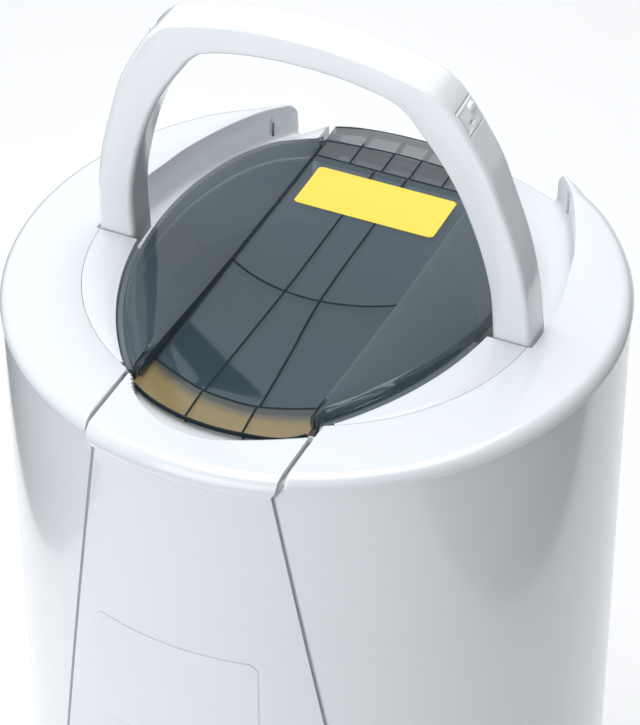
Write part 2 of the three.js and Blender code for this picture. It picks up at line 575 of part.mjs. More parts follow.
// ---- tub and drum ----
function outerTub() {
  const floor = TUB_BOTTOM_Z + WALL;
  const made = lathe([
    [19.7, TUB_BOTTOM_Z], [TUB_R - 6, TUB_BOTTOM_Z], [TUB_R, TUB_BOTTOM_Z + 6], [TUB_R, TUB_TOP_Z - WALL],
    [TUB_R + 7, TUB_TOP_Z - WALL], [TUB_R + 7, TUB_TOP_Z], [TUB_R - WALL, TUB_TOP_Z],
    [TUB_R - WALL, TUB_BOTTOM_Z + 8], [TUB_R - 8, floor], [19.7, floor + 2],
  ], TUB_SEGS);
  const skirt = ring(POST_CIRCLE_R + 12, POST_CIRCLE_R + 9, PLATE_Z + PLATE_T + GAP, TUB_BOTTOM_Z + 1,
      TUB_SEGS);
  const outlet = ring(9, 6.6, TUB_BOTTOM_Z - 12, TUB_BOTTOM_Z + 1, 20).translate([-OUTLET, OUTLET, 0]);
  return made.add(skirt).add(outlet).subtract(cylinder(6.6, 180, 230, 20).translate([-OUTLET, OUTLET, 0]));
}

const tubRing = () => lathe([
  [TUB_R + 7, TUB_TOP_Z + GAP], [TUB_R + 7, TUB_TOP_Z + 2.5], [MOUTH_R + 6, TUB_TOP_Z + 2.5],
  [MOUTH_R + 6, TUB_TOP_Z - 4], [MOUTH_R + 8.5, TUB_TOP_Z - 4], [MOUTH_R + 8.5, TUB_TOP_Z + GAP],
], TUB_SEGS);

const tubGasket = () => ring(TUB_R - 16, TUB_R - 24, TUB_TOP_Z + 2.8, drop(RECESS_DROP + 2 + WALL) - GAP);

function spinDrum() {
  const t = 1.2;
  let drum = lathe([
    [10, DRUM_BOTTOM_Z], [DRUM_R - 6, DRUM_BOTTOM_Z], [DRUM_R, DRUM_BOTTOM_Z + 6], [DRUM_R, DRUM_TOP_Z],
    [MOUTH_R + 6, DRUM_TOP_Z], [MOUTH_R + 6, DRUM_TOP_Z - t], [DRUM_R - t, DRUM_TOP_Z - t],
    [DRUM_R - t, DRUM_BOTTOM_Z + 6.5], [DRUM_R - 6.5, DRUM_BOTTOM_Z + t], [10, DRUM_BOTTOM_Z + t],
  ], TUB_SEGS);
  for (const z of [300, 430]) {
    around(6, (angle) => {
      drum = drum.subtract(bar('x', 4, DRUM_R - 14, DRUM_R + 16, 0, z + (angle % 120 ? 18 : 0), 8)
          .rotate([0, 0, angle]));
    });
  }
  return drum;
}

const balanceRing = () => lathe([
  [DRUM_R - 0.5, DRUM_TOP_Z + GAP], [DRUM_R + 1, DRUM_TOP_Z + 5], [DRUM_R - 0.5, DRUM_TOP_Z + 16],
  [DRUM_R - 15, DRUM_TOP_Z + 16], [DRUM_R - 18, DRUM_TOP_Z + 8], [DRUM_R - 16, DRUM_TOP_Z + GAP],
], TUB_SEGS);

const drumHub = () => lathe([
  [SHAFT_R + RUN, DRUM_BOTTOM_Z + 1.5], [40, DRUM_BOTTOM_Z + 1.5], [38, DRUM_BOTTOM_Z + 6],
  [20, DRUM_BOTTOM_Z + 22], [13, DRUM_BOTTOM_Z + 40], [9, DRUM_BOTTOM_Z + 44], [0, DRUM_BOTTOM_Z + 45],
  [0, DRUM_BOTTOM_Z + 38], [SHAFT_R + RUN, DRUM_BOTTOM_Z + 38],
]);

const driveShaft = () => lathe([
  [0, MOTOR_BOTTOM_Z + 4], [SHAFT_R, MOTOR_BOTTOM_Z + 4], [SHAFT_R, DRUM_BOTTOM_Z + 36],
  [SHAFT_R - 1, DRUM_BOTTOM_Z + 37.6], [0, DRUM_BOTTOM_Z + 37.6]], 24);

// ---- drive ----
const bearing = (outer, z0, z1) => lathe([
  [SHAFT_R + RUN, z0], [outer, z0], [outer, z1], [SHAFT_R + RUN, z1]]);

const bearingHousing = () => lathe([
  [17.3, PLATE_Z + 5], [20, PLATE_Z + 5], [20, PLATE_Z + PLATE_T + GAP], [46, PLATE_Z + PLATE_T + GAP],
  [46, PLATE_Z + PLATE_T + 4], [24, PLATE_Z + PLATE_T + 6], [22, TUB_BOTTOM_Z - 4], [17.3, TUB_BOTTOM_Z - 4],
]);

const shaftSeal = () => lathe([
  [SHAFT_R + RUN, TUB_BOTTOM_Z - 2], [19.4, TUB_BOTTOM_Z - 2], [19.4, TUB_BOTTOM_Z + 4],
  [10, TUB_BOTTOM_Z + 8], [SHAFT_R + RUN, TUB_BOTTOM_Z + 10]]);

function mountPlate() {
  let plate = ring(POST_CIRCLE_R + 16, 21, PLATE_Z, PLATE_Z + PLATE_T);
  around(3, (angle) => {
    plate = plate.subtract(cylinder(3.4, PLATE_Z - 5, PLATE_Z + 8, 12).translate([POST_CIRCLE_R, 0, 0])
      .rotate([0, 0, angle]));
  }, 30);
  return plate;
}

const supportPost = () => lathe([
  [0, FOOT_H + WALL + 2 * GAP], [14, FOOT_H + WALL + 2 * GAP], [14, 20], [8, 26], [7, 140], [0, 140]], 20);

const rubberMount = () => lathe([
  [0, 140 + GAP], [13, 140 + GAP], [14.5, 148], [11, 158], [14.5, 168], [13, PLATE_Z - GAP],
  [3, PLATE_Z - GAP], [3, PLATE_Z + 9], [0, PLATE_Z + 9]], 20);

const motorHousing = () => lathe([
  [MOTOR_R - 2.5, MOTOR_BOTTOM_Z], [MOTOR_R, MOTOR_BOTTOM_Z], [MOTOR_R, MOTOR_TOP_Z],
  [MOTOR_R - 2.5, MOTOR_TOP_Z]]);

const ROTOR_R = MOTOR_R - 26;

const motorStator = () => ring(MOTOR_R - 2.8, ROTOR_R + 0.8, MOTOR_BOTTOM_Z + 16, MOTOR_TOP_Z - 14);

const motorRotor = () => ring(ROTOR_R, SHAFT_R + GAP, MOTOR_BOTTOM_Z + 20, MOTOR_TOP_Z - 18);

const motorLowerCap = () => lathe([
  [0, MOTOR_BOTTOM_Z - 4], [30, MOTOR_BOTTOM_Z - 4], [MOTOR_R - 4, MOTOR_BOTTOM_Z - 3],
      [MOTOR_R, MOTOR_BOTTOM_Z - GAP],
  [16, MOTOR_BOTTOM_Z - GAP], [16, MOTOR_BOTTOM_Z + 12], [13.3, MOTOR_BOTTOM_Z + 12],
  [13.3, MOTOR_BOTTOM_Z + 1], [0, MOTOR_BOTTOM_Z + 1]]);

const motorUpperCap = () => lathe([
  [SHAFT_R + 1, MOTOR_TOP_Z + GAP], [MOTOR_R, MOTOR_TOP_Z + GAP], [MOTOR_R - 4, MOTOR_TOP_Z + 3.4],
  [SHAFT_R + 1, MOTOR_TOP_Z + 4.4]]);

const motorSpacer = () => cylinder(4.5, MOTOR_TOP_Z + 4.6, PLATE_Z - GAP, 16);

const brakeDrum = () => lathe([
  [SHAFT_R + GAP, BRAKE_Z - 1], [13, BRAKE_Z - 1], [13, BRAKE_Z + 3], [BRAKE_R, BRAKE_Z + 3],
  [BRAKE_R, BRAKE_Z + 12], [BRAKE_R - 3, BRAKE_Z + 12], [BRAKE_R - 3, BRAKE_Z + 6],
      [SHAFT_R + GAP, BRAKE_Z + 6]]);

const BRAKE_PIN_X = 62;
const BRAKE_PIN_Y = -30;

function brakeArm() {
  const curve = ring(BRAKE_R + 9, BRAKE_R + 6, BRAKE_Z + 3, BRAKE_Z + 11);
  const shoe = ring(BRAKE_R + 7, BRAKE_R + 1.6, BRAKE_Z + 4, BRAKE_Z + 10)
    .intersect(box(-14, 14, -80, -30, 0, 300));
  const reach = box(-16, 70, -80, -18, 0, 300);
  let arm = curve.intersect(reach.intersect(box(-80, 48, -80, -14, 0, 300)));
  arm = arm.add(box(BRAKE_R - 6, BRAKE_R + 24, -38, -26, BRAKE_Z + 3, BRAKE_Z + 11).subtract(cylinder(BRAKE_R + 6, 100, 200)));
  arm = arm.add(shoe).add(box(-24, -10, -51, -47, BRAKE_Z + 3, BRAKE_Z + 11));
  return arm.subtract(cylinder(3.3, 100, 200, 16).translate([BRAKE_PIN_X, BRAKE_PIN_Y, 0]));
}

const brakePin = () => cylinder(3, BRAKE_Z - 1, PLATE_Z - GAP, 16).translate([BRAKE_PIN_X, BRAKE_PIN_Y, 0]);

function sweep(points, radius) {
  const path = new THREE.CatmullRomCurve3(points.map(([x, y, z]) => new THREE.Vector3(x, y, z)));
  const disc = new THREE.Shape();
  disc.absarc(0, 0, radius, 0, Math.PI * 2, false);
  return solid(new THREE.ExtrudeGeometry(disc, { steps: 16, curveSegments: 4, extrudePath: path }));
}

const drainHose = () => sweep([[-OUTLET, OUTLET, 192.4], [-OUTLET, OUTLET, 176],
  [-OUTLET - 2, OUTLET + 4, 150], [-OUTLET - 7, OUTLET + 17, 115],
  [-PORT_X, PORT_Y - 20, 90], [-PORT_X, PORT_Y - 14, 77], [-PORT_X, PORT_Y - 7, PORT_Z],
  [-PORT_X, PORT_Y - 0.4, PORT_Z]], 8.4);

const portTube = (x, outer, inner, y0, y1, flange, f0) => bar('y', outer, y0, y1, x, PORT_Z, 16)
  .add(bar('y', flange, f0, f0 + 2.6, x, PORT_Z, 16))
  .subtract(bar('y', inner, 100, BODY_R + 20, x, PORT_Z, 16));

const drainSpout = () => portTube(-PORT_X, 9.5, 7, PORT_Y, BODY_R + LIP_PROUD, 13, PORT_Y);

const cordGland = () => portTube(PORT_X, 7, 3.4, PORT_Y + 2, PORT_Y + 32, 10, PORT_Y + 5);

const capacitor = () => lathe([
  [0, FOOT_H + WALL + 2 * GAP], [17, FOOT_H + WALL + 2 * GAP], [18, 18], [18, 82], [16, 84], [0, 84]]);

const casingScrew = () => bar('x', 1.9, CASING_R - 11.5, CASING_R + 0.4, 0, PAN_TOP_Z + 9, 12)
  .add(bar('x', 4, CASING_R + 0.2, CASING_R + 2, 0, PAN_TOP_Z + 9, 16));

// ---- the assembly ----
add('outer_casing', outerCasing(), WHITE, 0.3);
add('base_pan', basePan(), WHITE, 0.4);
around(4, (angle, i) => {
  const at = (body) => body.translate([FOOT_CIRCLE_R, 0, 0]).rotate([0, 0, angle]);
  add(`foot_${i}`, at(foot()), DARK, 0.8);
  add(`casing_screw_${i}`, casingScrew().rotate([0, 0, angle]), STEEL, 0.35, 1);
}, 45);
add('top_cover', topCover(), WHITE, 0.3);
add('inner_ring', innerRing(), WHITE, 0.3);
add('front_lever', frontLever(), WHITE, 0.3);
add('front_label', frontLabel(), 0xdfe2e6, 0.5);
add('latch_hook', latchHook(), STEEL, 0.3, 1);
add('lever_bracket', leverBracket(), GREY, 0.4, 1);
add('lever_rod', leverRod(), STEEL, 0.25, 1);
add('lever_spring', leverSpring(), STEEL, 0.3, 1);
add('micro_switch', microSwitch(), DARK, 0.5);
add('switch_plunger', switchPlunger(), 0xc23a2c, 0.5);
add('carry_handle', carryHandle(), WHITE, 0.3);
add('handle_pin_left', handlePin(-1), STEEL, 0.3, 1);
add('handle_pin_right', handlePin(1), STEEL, 0.3, 1);
add('lid', lid(), SMOKE, 0.1);
add('lid_label', label(-42.5, 42.5, 60, 96, drop(2.4), 0.5), YELLOW, 0.5);
add('lid_pin', lidPin(), STEEL, 0.25, 1);
add('lid_catch', lidCatch(), STEEL, 0.3, 1);
add('outer_tub', outerTub(), WHITE, 0.5);
add('tub_ring', tubRing(), WHITE, 0.5);
add('tub_gasket', tubGasket(), DARK, 0.8);
add('spin_drum', spinDrum(), STEEL, 0.3, 1);
add('balance_ring', balanceRing(), 0xd9dde2, 0.5);
add('drum_hub', drumHub(), 0xc9cdd2, 0.4);
add('drive_shaft', driveShaft(), STEEL, 0.2, 1);
add('bearing_upper', bearing(17, PLATE_Z + 8, PLATE_Z + 20), STEEL, 0.2, 1);
add('bearing_lower', bearing(13, MOTOR_BOTTOM_Z + 1.3, MOTOR_BOTTOM_Z + 11), STEEL, 0.2, 1);
add('bearing_housing', bearingHousing(), GREY, 0.5, 1);
add('shaft_seal', shaftSeal(), DARK, 0.8);
add('mount_plate', mountPlate(), GREY, 0.4, 1);
around(3, (angle, i) => {
  const at = (body) => body.translate([POST_CIRCLE_R, 0, 0]).rotate([0, 0, angle]);
  add(`support_post_${i}`, at(supportPost()), GREY, 0.4, 1);
  add(`rubber_mount_${i}`, at(rubberMount()), DARK, 0.8);
}, 30);
around(3, (angle, i) => {
  add(`motor_spacer_${i}`, motorSpacer().translate([MOTOR_R - 10, 0, 0])
      .rotate([0, 0, angle]), STEEL, 0.3, 1);
}, 115);
add('motor_housing', motorHousing(), GREY, 0.5, 1);
add('motor_stator', motorStator(), 0x8a4b2a, 0.6);
add('motor_rotor', motorRotor(), GREY, 0.4, 1);
add('motor_lower_cap', motorLowerCap(), GREY, 0.5, 1);
add('motor_upper_cap', motorUpperCap(), GREY, 0.5, 1);
add('brake_drum', brakeDrum(), STEEL, 0.4, 1);
add('brake_arm', brakeArm(), GREY, 0.4, 1);
add('brake_pin', brakePin(), STEEL, 0.3, 1);
add('drain_hose', drainHose(), DARK, 0.7);
add('drain_spout', drainSpout(), GREY, 0.5);
add('cord_gland', cordGland(), DARK, 0.6);
add('run_capacitor', capacitor().translate([MOTOR_R + 28, -60, 0]), 0xdadada, 0.5);

export default group;
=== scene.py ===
"""Looks of the laundry spin dryer: its white mouldings, smoked lid, carrying handle and pull lever."""

import json
import logging
import math
from dataclasses import dataclass, field
from enum import Enum
from itertools import product
from typing import Callable, Sequence

import bmesh
import bpy
from mathutils import Matrix, Vector

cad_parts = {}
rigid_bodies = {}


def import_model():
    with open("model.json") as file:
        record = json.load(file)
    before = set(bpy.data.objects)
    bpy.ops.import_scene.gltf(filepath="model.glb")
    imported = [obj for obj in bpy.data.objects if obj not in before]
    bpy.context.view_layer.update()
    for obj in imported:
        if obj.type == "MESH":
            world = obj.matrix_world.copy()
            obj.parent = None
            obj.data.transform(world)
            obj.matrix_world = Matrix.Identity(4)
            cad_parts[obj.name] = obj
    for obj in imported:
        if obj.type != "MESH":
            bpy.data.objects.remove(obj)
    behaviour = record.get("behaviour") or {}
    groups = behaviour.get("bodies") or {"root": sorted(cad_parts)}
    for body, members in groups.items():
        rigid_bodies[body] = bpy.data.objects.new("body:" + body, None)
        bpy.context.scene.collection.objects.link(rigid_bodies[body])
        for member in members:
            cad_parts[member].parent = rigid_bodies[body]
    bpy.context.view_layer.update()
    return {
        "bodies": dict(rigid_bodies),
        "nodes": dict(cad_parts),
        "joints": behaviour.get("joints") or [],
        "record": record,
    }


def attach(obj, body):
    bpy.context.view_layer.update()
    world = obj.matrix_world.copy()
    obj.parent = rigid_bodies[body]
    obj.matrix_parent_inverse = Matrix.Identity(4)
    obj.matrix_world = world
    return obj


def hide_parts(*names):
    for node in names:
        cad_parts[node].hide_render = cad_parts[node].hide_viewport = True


log = logging.getLogger("spin_dryer")

Point2 = tuple[float, float]
Point3 = tuple[float, float, float]
Line = Callable[[float], float]

MM = 0.001
TOP = 580.0  # flat top plane above the floor, mm
BODY_R = 172.5
CASING_R = 171.5
SEAM_R = 127.8  # seam between the cover and the inner ring
MOUTH_R = 88.0
LID_ARC = (98.5, 18.0, 199.0)  # centre across, centre along, radius of the lid's side arc
LID_ARC_END_Y = 41.0
LID_TIP_Y = -113.2  # front tips of the lobes
LID_PIVOT = (131.0, TOP - 14.0)  # y and z of the hinge pin
LUG_R = 4.9
BAND_HALF = 51.0
RIM_POINTS = 3  # last points of a section, under the rim
RECESS_DROP = 24.0
RECESS_Z = TOP - RECESS_DROP
WELL_Z = TOP - 26.0
CASING_TOP = TOP - 7.1  # just under the cover's rim
LEVER_TOP_HALF = 54.1
LEVER_SEAM_HALF = 50.4
LEVER_SEAM_Z = TOP - 14.0  # below this the lever widens by its slope
LEVER_SLOPE = 0.157
LEVER_GAP = 2.4
SEAM_GAP = 2.1
PORT_X = 90.0
PORT_Z = 72.0
SIDES = ((1.0, "right"), (-1.0, "left"))
FADE_Y = (-0.1135, -0.1245)  # where the lid's front cells fade, m
GRAIN_HEIGHT = 0.0004  # of the moulded skin's finest texture, m


class Body(Enum):
    """The CAD bodies that pieces ride on."""

    HOUSING = "housing"
    LID = "lid_body"
    HANDLE = "handle_body"
    LEVER = "lever_body"
    DRUM = "drum_body"


class Axis(Enum):
    """Which way the axis of a turned piece runs."""

    UPRIGHT = "z"
    FRONT_TO_BACK = "y"


# ---------------------------------------------------------------- shader effects


def _group(name: str, inputs: dict[str, float], outputs: Sequence[str]) -> bpy.types.NodeTree:
    """Starts a shader node group with float inputs.

    Args:
        name: the group's name.
        inputs: the default of each float input.
        outputs: names of the outputs; one called Normal is a vector.

    Returns:
        The node tree, holding its input and output nodes.
    """
    tree = bpy.data.node_groups.new(name, "ShaderNodeTree")
    for label, value in inputs.items():
        socket = tree.interface.new_socket(label, in_out="INPUT", socket_type="NodeSocketFloat")
        socket.default_value = value
    for label in outputs:
        kind = "NodeSocketVector" if label == "Normal" else "NodeSocketFloat"
        tree.interface.new_socket(label, in_out="OUTPUT", socket_type=kind)
    tree.nodes.new("NodeGroupInput")
    tree.nodes.new("NodeGroupOutput")
    return tree


def _math(tree: bpy.types.NodeTree, kind: str, *values: bpy.types.NodeSocket | float) -> bpy.types.NodeSocket:
    """Adds one Math node.

    Args:
        tree: the node tree.
        kind: the operation.
        values: a socket or a number for each input.

    Returns:
        The node's output.
    """
    node = tree.nodes.new("ShaderNodeMath")
    node.operation = kind
    for socket, value in zip(node.inputs, values):
        if isinstance(value, float):
            socket.default_value = value
        else:
            tree.links.new(value, socket)
    return node.outputs[0]


def _ramp(tree: bpy.types.NodeTree, value: bpy.types.NodeSocket, limits: Point2, result: Point2,
          kind: str = "LINEAR") -> bpy.types.NodeSocket:
    """Adds one Map Range node.

    Args:
        tree: the node tree.
        value: the value that is mapped.
        limits: where the ramp starts and ends.
        result: what it gives there.
        kind: its interpolation.

    Returns:
        The node's output.
    """
    node = tree.nodes.new("ShaderNodeMapRange")
    node.interpolation_type = kind
    for label, number in zip(("From Min", "From Max", "To Min", "To Max"), (*limits, *result)):
        node.inputs[label].default_value = number
    tree.links.new(value, node.inputs["Value"])
    return node.outputs["Result"]


def skin_group() -> bpy.types.NodeTree:
    """Builds the moulded-skin effect: faint mottling, varying roughness and a very fine texture.

    Returns:
        A group with Mottle, Roughness and Normal outputs.
    """
    tree = _group("moulded_skin", {"Scale": 60.0, "Roughness": 0.3, "Spread": 0.05, "Relief": 0.05},
                  ("Mottle", "Roughness", "Normal"))
    nodes, links = tree.nodes, tree.links
    source, sink = nodes["Group Input"], nodes["Group Output"]
    place = nodes.new("ShaderNodeTexCoord")
    broad = nodes.new("ShaderNodeTexNoise")
    broad.inputs["Scale"].default_value = 7.0
    broad.inputs["Detail"].default_value = 3.0
    fine = nodes.new("ShaderNodeTexNoise")
    fine.inputs["Detail"].default_value = 4.0
    for noise in (broad, fine):
        links.new(place.outputs["Object"], noise.inputs["Vector"])
    links.new(source.outputs["Scale"], fine.inputs["Scale"])
    centred = _math(tree, "SUBTRACT", broad.outputs["Fac"], 0.5)
    rough = _math(tree, "MULTIPLY_ADD", centred, source.outputs["Spread"], source.outputs["Roughness"])
    bump = nodes.new("ShaderNodeBump")
    bump.inputs["Distance"].default_value = GRAIN_HEIGHT
    links.new(fine.outputs["Fac"], bump.inputs["Height"])
    links.new(source.outputs["Relief"], bump.inputs["Strength"])
    links.new(broad.outputs["Fac"], sink.inputs["Mottle"])
    links.new(rough, sink.inputs["Roughness"])
    links.new(bump.outputs["Normal"], sink.inputs["Normal"])
    return tree


def fade_group() -> bpy.types.NodeTree:
    """Builds a mask that grows from the curved cross rail of the lid towards its nose.

    Returns:
        A group with a Mask output.
    """
    tree = _group("rail_fade", {"Curve": -6.0, "Skew": 0.08}, ("Mask",))
    nodes, links = tree.nodes, tree.links
    source, sink = nodes["Group Input"], nodes["Group Output"]
    place = nodes.new("ShaderNodeTexCoord")
    parts = nodes.new("ShaderNodeSeparateXYZ")
    links.new(place.outputs["Object"], parts.inputs["Vector"])
    x, y = parts.outputs["X"], parts.outputs["Y"]
    bow = _math(tree, "MULTIPLY", _math(tree, "MULTIPLY", x, x), source.outputs["Curve"])
    lean = _math(tree, "MULTIPLY", x, source.outputs["Skew"])
    run = _math(tree, "ADD", _math(tree, "ADD", y, bow), lean)
    links.new(_ramp(tree, run, FADE_Y, (0.0, 1.0), "SMOOTHSTEP"), sink.inputs["Mask"])
    return tree


@dataclass(frozen=True)
class Finish:
    """One finish: two close colours mottled over the surface, with gloss, grain and see-through."""

    name: str
    colour: Point3
    shade: Point3
    roughness: float = 0.35
    spread: float = 0.05
    grain: float = 260.0
    relief: float = 0.04
    metallic: float = 0.0
    coat: float = 0.0
    alpha: float = 1.0
    ior: float = 1.5
    coat_roughness: float = 0.06
    far: Point3 | None = None  # the colour it fades to behind the lid's front cells

    def faded(self, made: bpy.types.Material, near: bpy.types.NodeSocket) -> bpy.types.NodeSocket:
        """Fades the colour towards a second one next to the front cross rail.

        Args:
            made: the material.
            near: the colour at the nose.

        Returns:
            The faded colour.
        """
        nodes, links = made.node_tree.nodes, made.node_tree.links
        mask = nodes.new("ShaderNodeGroup")
        mask.node_tree = bpy.data.node_groups.get("rail_fade") or fade_group()
        blend = nodes.new("ShaderNodeMix")
        blend.data_type = "RGBA"
        blend.inputs["A"].default_value = (*self.far, 1.0)
        links.new(mask.outputs["Mask"], blend.inputs["Factor"])
        links.new(near, blend.inputs["B"])
        return blend.outputs["Result"]

    def material(self) -> bpy.types.Material:
        """Makes the material once and gives it back afterwards.

        Returns:
            The material of this finish.
        """
        if self.name in bpy.data.materials:
            return bpy.data.materials[self.name]
        made = bpy.data.materials.new(self.name)
        made.use_nodes = True
        nodes, links = made.node_tree.nodes, made.node_tree.links
        shader = nodes["Principled BSDF"]
        skin = nodes.new("ShaderNodeGroup")
        skin.node_tree = bpy.data.node_groups.get("moulded_skin") or skin_group()
        for label, value in (("Scale", self.grain), ("Roughness", self.roughness),
                             ("Spread", self.spread), ("Relief", self.relief)):
            skin.inputs[label].default_value = value
        tint = nodes.new("ShaderNodeMix")
        tint.data_type = "RGBA"
        tint.inputs["A"].default_value = (*self.colour, 1.0)
        tint.inputs["B"].default_value = (*self.shade, 1.0)
        links.new(skin.outputs["Mottle"], tint.inputs["Factor"])
        colour = tint.outputs["Result"] if self.far is None else self.faded(made, tint.outputs["Result"])
        links.new(colour, shader.inputs["Base Color"])
        links.new(skin.outputs["Roughness"], shader.inputs["Roughness"])
        links.new(skin.outputs["Normal"], shader.inputs["Normal"])
        shader.inputs["Metallic"].default_value = self.metallic
        shader.inputs["IOR"].default_value = self.ior
        shader.inputs["Coat Weight"].default_value = self.coat
        shader.inputs["Coat Roughness"].default_value = self.coat_roughness
        shader.inputs["Alpha"].default_value = self.alpha
        return made


WHITE = Finish("gloss_white", (0.70, 0.732, 0.757), (0.672, 0.704, 0.73), 0.2, 0.04, 320.0, 0.02, coat=0.5)
# A lighter copy of the white plastic for the handle: its brighter colour is painted light, standing in for
# the stronger light that falls on the handle.
LIT_HANDLE_WHITE = Finish("handle_white_lit", (0.85, 0.878, 0.905), (0.82, 0.85, 0.88), 0.16, 0.04, 320.0, 0.02,
                      coat=0.5)
SMOKE = Finish("smoked_lid", (0.050, 0.082, 0.101), (0.042, 0.071, 0.088), 0.02, 0.01, 200.0, 0.0,
               alpha=0.66, ior=1.6)
SMOKE_LOBE = Finish("smoked_lobe", (0.052, 0.084, 0.100), (0.044, 0.072, 0.088), 0.08, 0.03, 200.0, 0.0,
                    coat=0.25, alpha=0.68)
SMOKE_RIB = Finish("smoked_rib", (0.016, 0.026, 0.031), (0.020, 0.030, 0.036), 0.6, 0.03, ior=1.1)
SMOKE_WALL = Finish("smoked_wall", (0.045, 0.055, 0.060), (0.035, 0.045, 0.050), 0.2, 0.03)
WARM_WALL = Finish("warm_wall", (0.20, 0.155, 0.115), (0.13, 0.105, 0.085), 0.2, 0.03)
BRIM = Finish("clear_brim", (0.20, 0.25, 0.28), (0.17, 0.22, 0.25), 0.1, 0.02, alpha=0.45)
AMBER = Finish("amber_cell", (0.345, 0.25, 0.10), (0.245, 0.19, 0.08), 0.12, 0.04, alpha=0.66, coat=0.3,
               far=(0.075, 0.09, 0.088))
CELL = Finish("back_cell", (0.20, 0.22, 0.23), (0.14, 0.16, 0.17), 0.14, 0.04, alpha=0.7, coat=0.3)
CELL_DARK = Finish("mid_cell", (0.075, 0.090, 0.098), (0.060, 0.072, 0.080), 0.12, 0.04, alpha=0.75, coat=0.3)
YELLOW = Finish("yellow_film", (0.86, 0.64, 0.038), (0.80, 0.59, 0.032), 0.3, 0.04, 420.0, 0.02, coat=0.3)
PAPER = Finish("pale_film", (0.72, 0.745, 0.78), (0.69, 0.72, 0.755), 0.35, 0.04, 420.0, 0.02, coat=0.2)
RUBBER = Finish("black_rubber", (0.02, 0.02, 0.022), (0.03, 0.03, 0.032), 0.7, 0.1, 500.0, 0.3)
STEEL = Finish("plated_steel", (0.55, 0.56, 0.58), (0.48, 0.49, 0.51), 0.25, 0.1, 600.0, 0.06, metallic=1.0)
DRUM_STEEL = Finish("drum_steel", (0.62, 0.63, 0.65), (0.55, 0.56, 0.58), 0.28, 0.1, 700.0, 0.05,
                    metallic=1.0)
SATIN_METAL = Finish("satin_metal", (0.14, 0.145, 0.155), (0.11, 0.115, 0.125), 0.45, 0.1, 500.0, 0.1)
CAST = Finish("cast_alloy", (0.42, 0.43, 0.45), (0.34, 0.35, 0.37), 0.5, 0.12, 420.0, 0.3, metallic=0.9)
CORE = Finish("varnished_core", (0.10, 0.045, 0.02), (0.07, 0.03, 0.015), 0.4, 0.12, 500.0, 0.2)
INNER = Finish("inner_plastic", (0.70, 0.725, 0.75), (0.64, 0.665, 0.69), 0.42, 0.08, 380.0, 0.06)
BLACK = Finish("black_plastic", (0.02, 0.02, 0.022), (0.028, 0.028, 0.03), 0.4, 0.08, 450.0, 0.1)
RED = Finish("red_plastic", (0.36, 0.02, 0.012), (0.3, 0.016, 0.01), 0.35, 0.06)
GREY = Finish("grey_plastic", (0.17, 0.18, 0.19), (0.14, 0.15, 0.16), 0.4, 0.08, 450.0, 0.08)
SHELL = Finish("capacitor_shell", (0.55, 0.55, 0.52), (0.5, 0.5, 0.47), 0.45, 0.06)


# ---------------------------------------------------------------- mesh making


@dataclass
class Surface:
    """Points and faces of one piece, in mm with z from the floor."""

    points: list[Point3] = field(default_factory=list)
    faces: list[tuple[int, ...]] = field(default_factory=list)

    def loft(self, rows: Sequence[Sequence[Point3]], across: bool = False, along: bool = False) -> "Surface":
        """Adds a sheet through rows of points.

        Args:
            rows: rows with the same number of points.
            across: joins each row's last point to its first.
            along: joins the last row to the first.

        Returns:
            This surface.
        """
        start, count, width = len(self.points), len(rows), len(rows[0])
        for row in rows:
            self.points.extend(row)
        for i in range(count if along else count - 1):
            for j in range(width if across else width - 1):
                a = start + i * width + j
                b = start + i * width + (j + 1) % width
                c = start + ((i + 1) % count) * width + (j + 1) % width
                d = start + ((i + 1) % count) * width + j
                self.faces.append((a, b, c, d))
        return self

    def fan(self, ring: Sequence[Point3]) -> "Surface":
        """Closes a ring of points with one face.

        Args:
            ring: the points in order.

        Returns:
            This surface.
        """
        start = len(self.points)
        self.points.extend(ring)
        self.faces.append(tuple(range(start, start + len(ring))))
        return self

    def mirrored(self) -> "Surface":
        """Adds the same points and faces on the other side of the middle plane.

        Returns:
            This surface.
        """
        start = len(self.points)
        self.points.extend([(-x, y, z) for x, y, z in self.points])
        self.faces.extend([tuple(start + i for i in reversed(face)) for face in list(self.faces)])
        return self

    def build(self, name: str, finish: Finish, sharp: float = 35.0) -> bpy.types.Object:
        """Makes the object, in metres, with clean outward faces.

        Args:
            name: the piece's name.
            finish: its finish.
            sharp: edges that turn by more than this many degrees stay sharp.

        Returns:
            The new object, linked to the scene.
        """
        mesh = bpy.data.meshes.new(name)
        mesh.from_pydata([(x * MM, y * MM, z * MM) for x, y, z in self.points], [], self.faces)
        work = bmesh.new()
        work.from_mesh(mesh)
        bmesh.ops.remove_doubles(work, verts=work.verts, dist=0.00002)
        bmesh.ops.dissolve_degenerate(work, edges=work.edges, dist=0.00001)
        bmesh.ops.recalc_face_normals(work, faces=work.faces)
        for face in work.faces:
            face.smooth = True
        limit = math.radians(sharp)
        for edge in work.edges:
            edge.smooth = len(edge.link_faces) == 2 and edge.calc_face_angle(0.0) < limit
        work.to_mesh(mesh)
        work.free()
        made = bpy.data.objects.new(name, mesh)
        bpy.context.scene.collection.objects.link(made)
        mesh.materials.append(finish.material())
        return made


def applied(piece: bpy.types.Object) -> bpy.types.Object:
    """Turns a piece with modifiers into a plain mesh.

    Args:
        piece: the object.

    Returns:
        The same object with its modifiers applied.
    """
    graph = bpy.context.evaluated_depsgraph_get()
    mesh = bpy.data.meshes.new_from_object(piece.evaluated_get(graph))
    piece.modifiers.clear()
    piece.data = mesh
    return piece


def thickened(piece: bpy.types.Object, wall: float, side: float = -1.0) -> bpy.types.Object:
    """Gives an open sheet a wall.

    Args:
        piece: the object.
        wall: the thickness in mm.
        side: -1 puts the wall behind the faces, 1 in front.

    Returns:
        The same object.
    """
    rule = piece.modifiers.new("wall", "SOLIDIFY")
    rule.thickness = wall * MM
    rule.offset = side
    rule.use_even_offset = False
    return applied(piece)


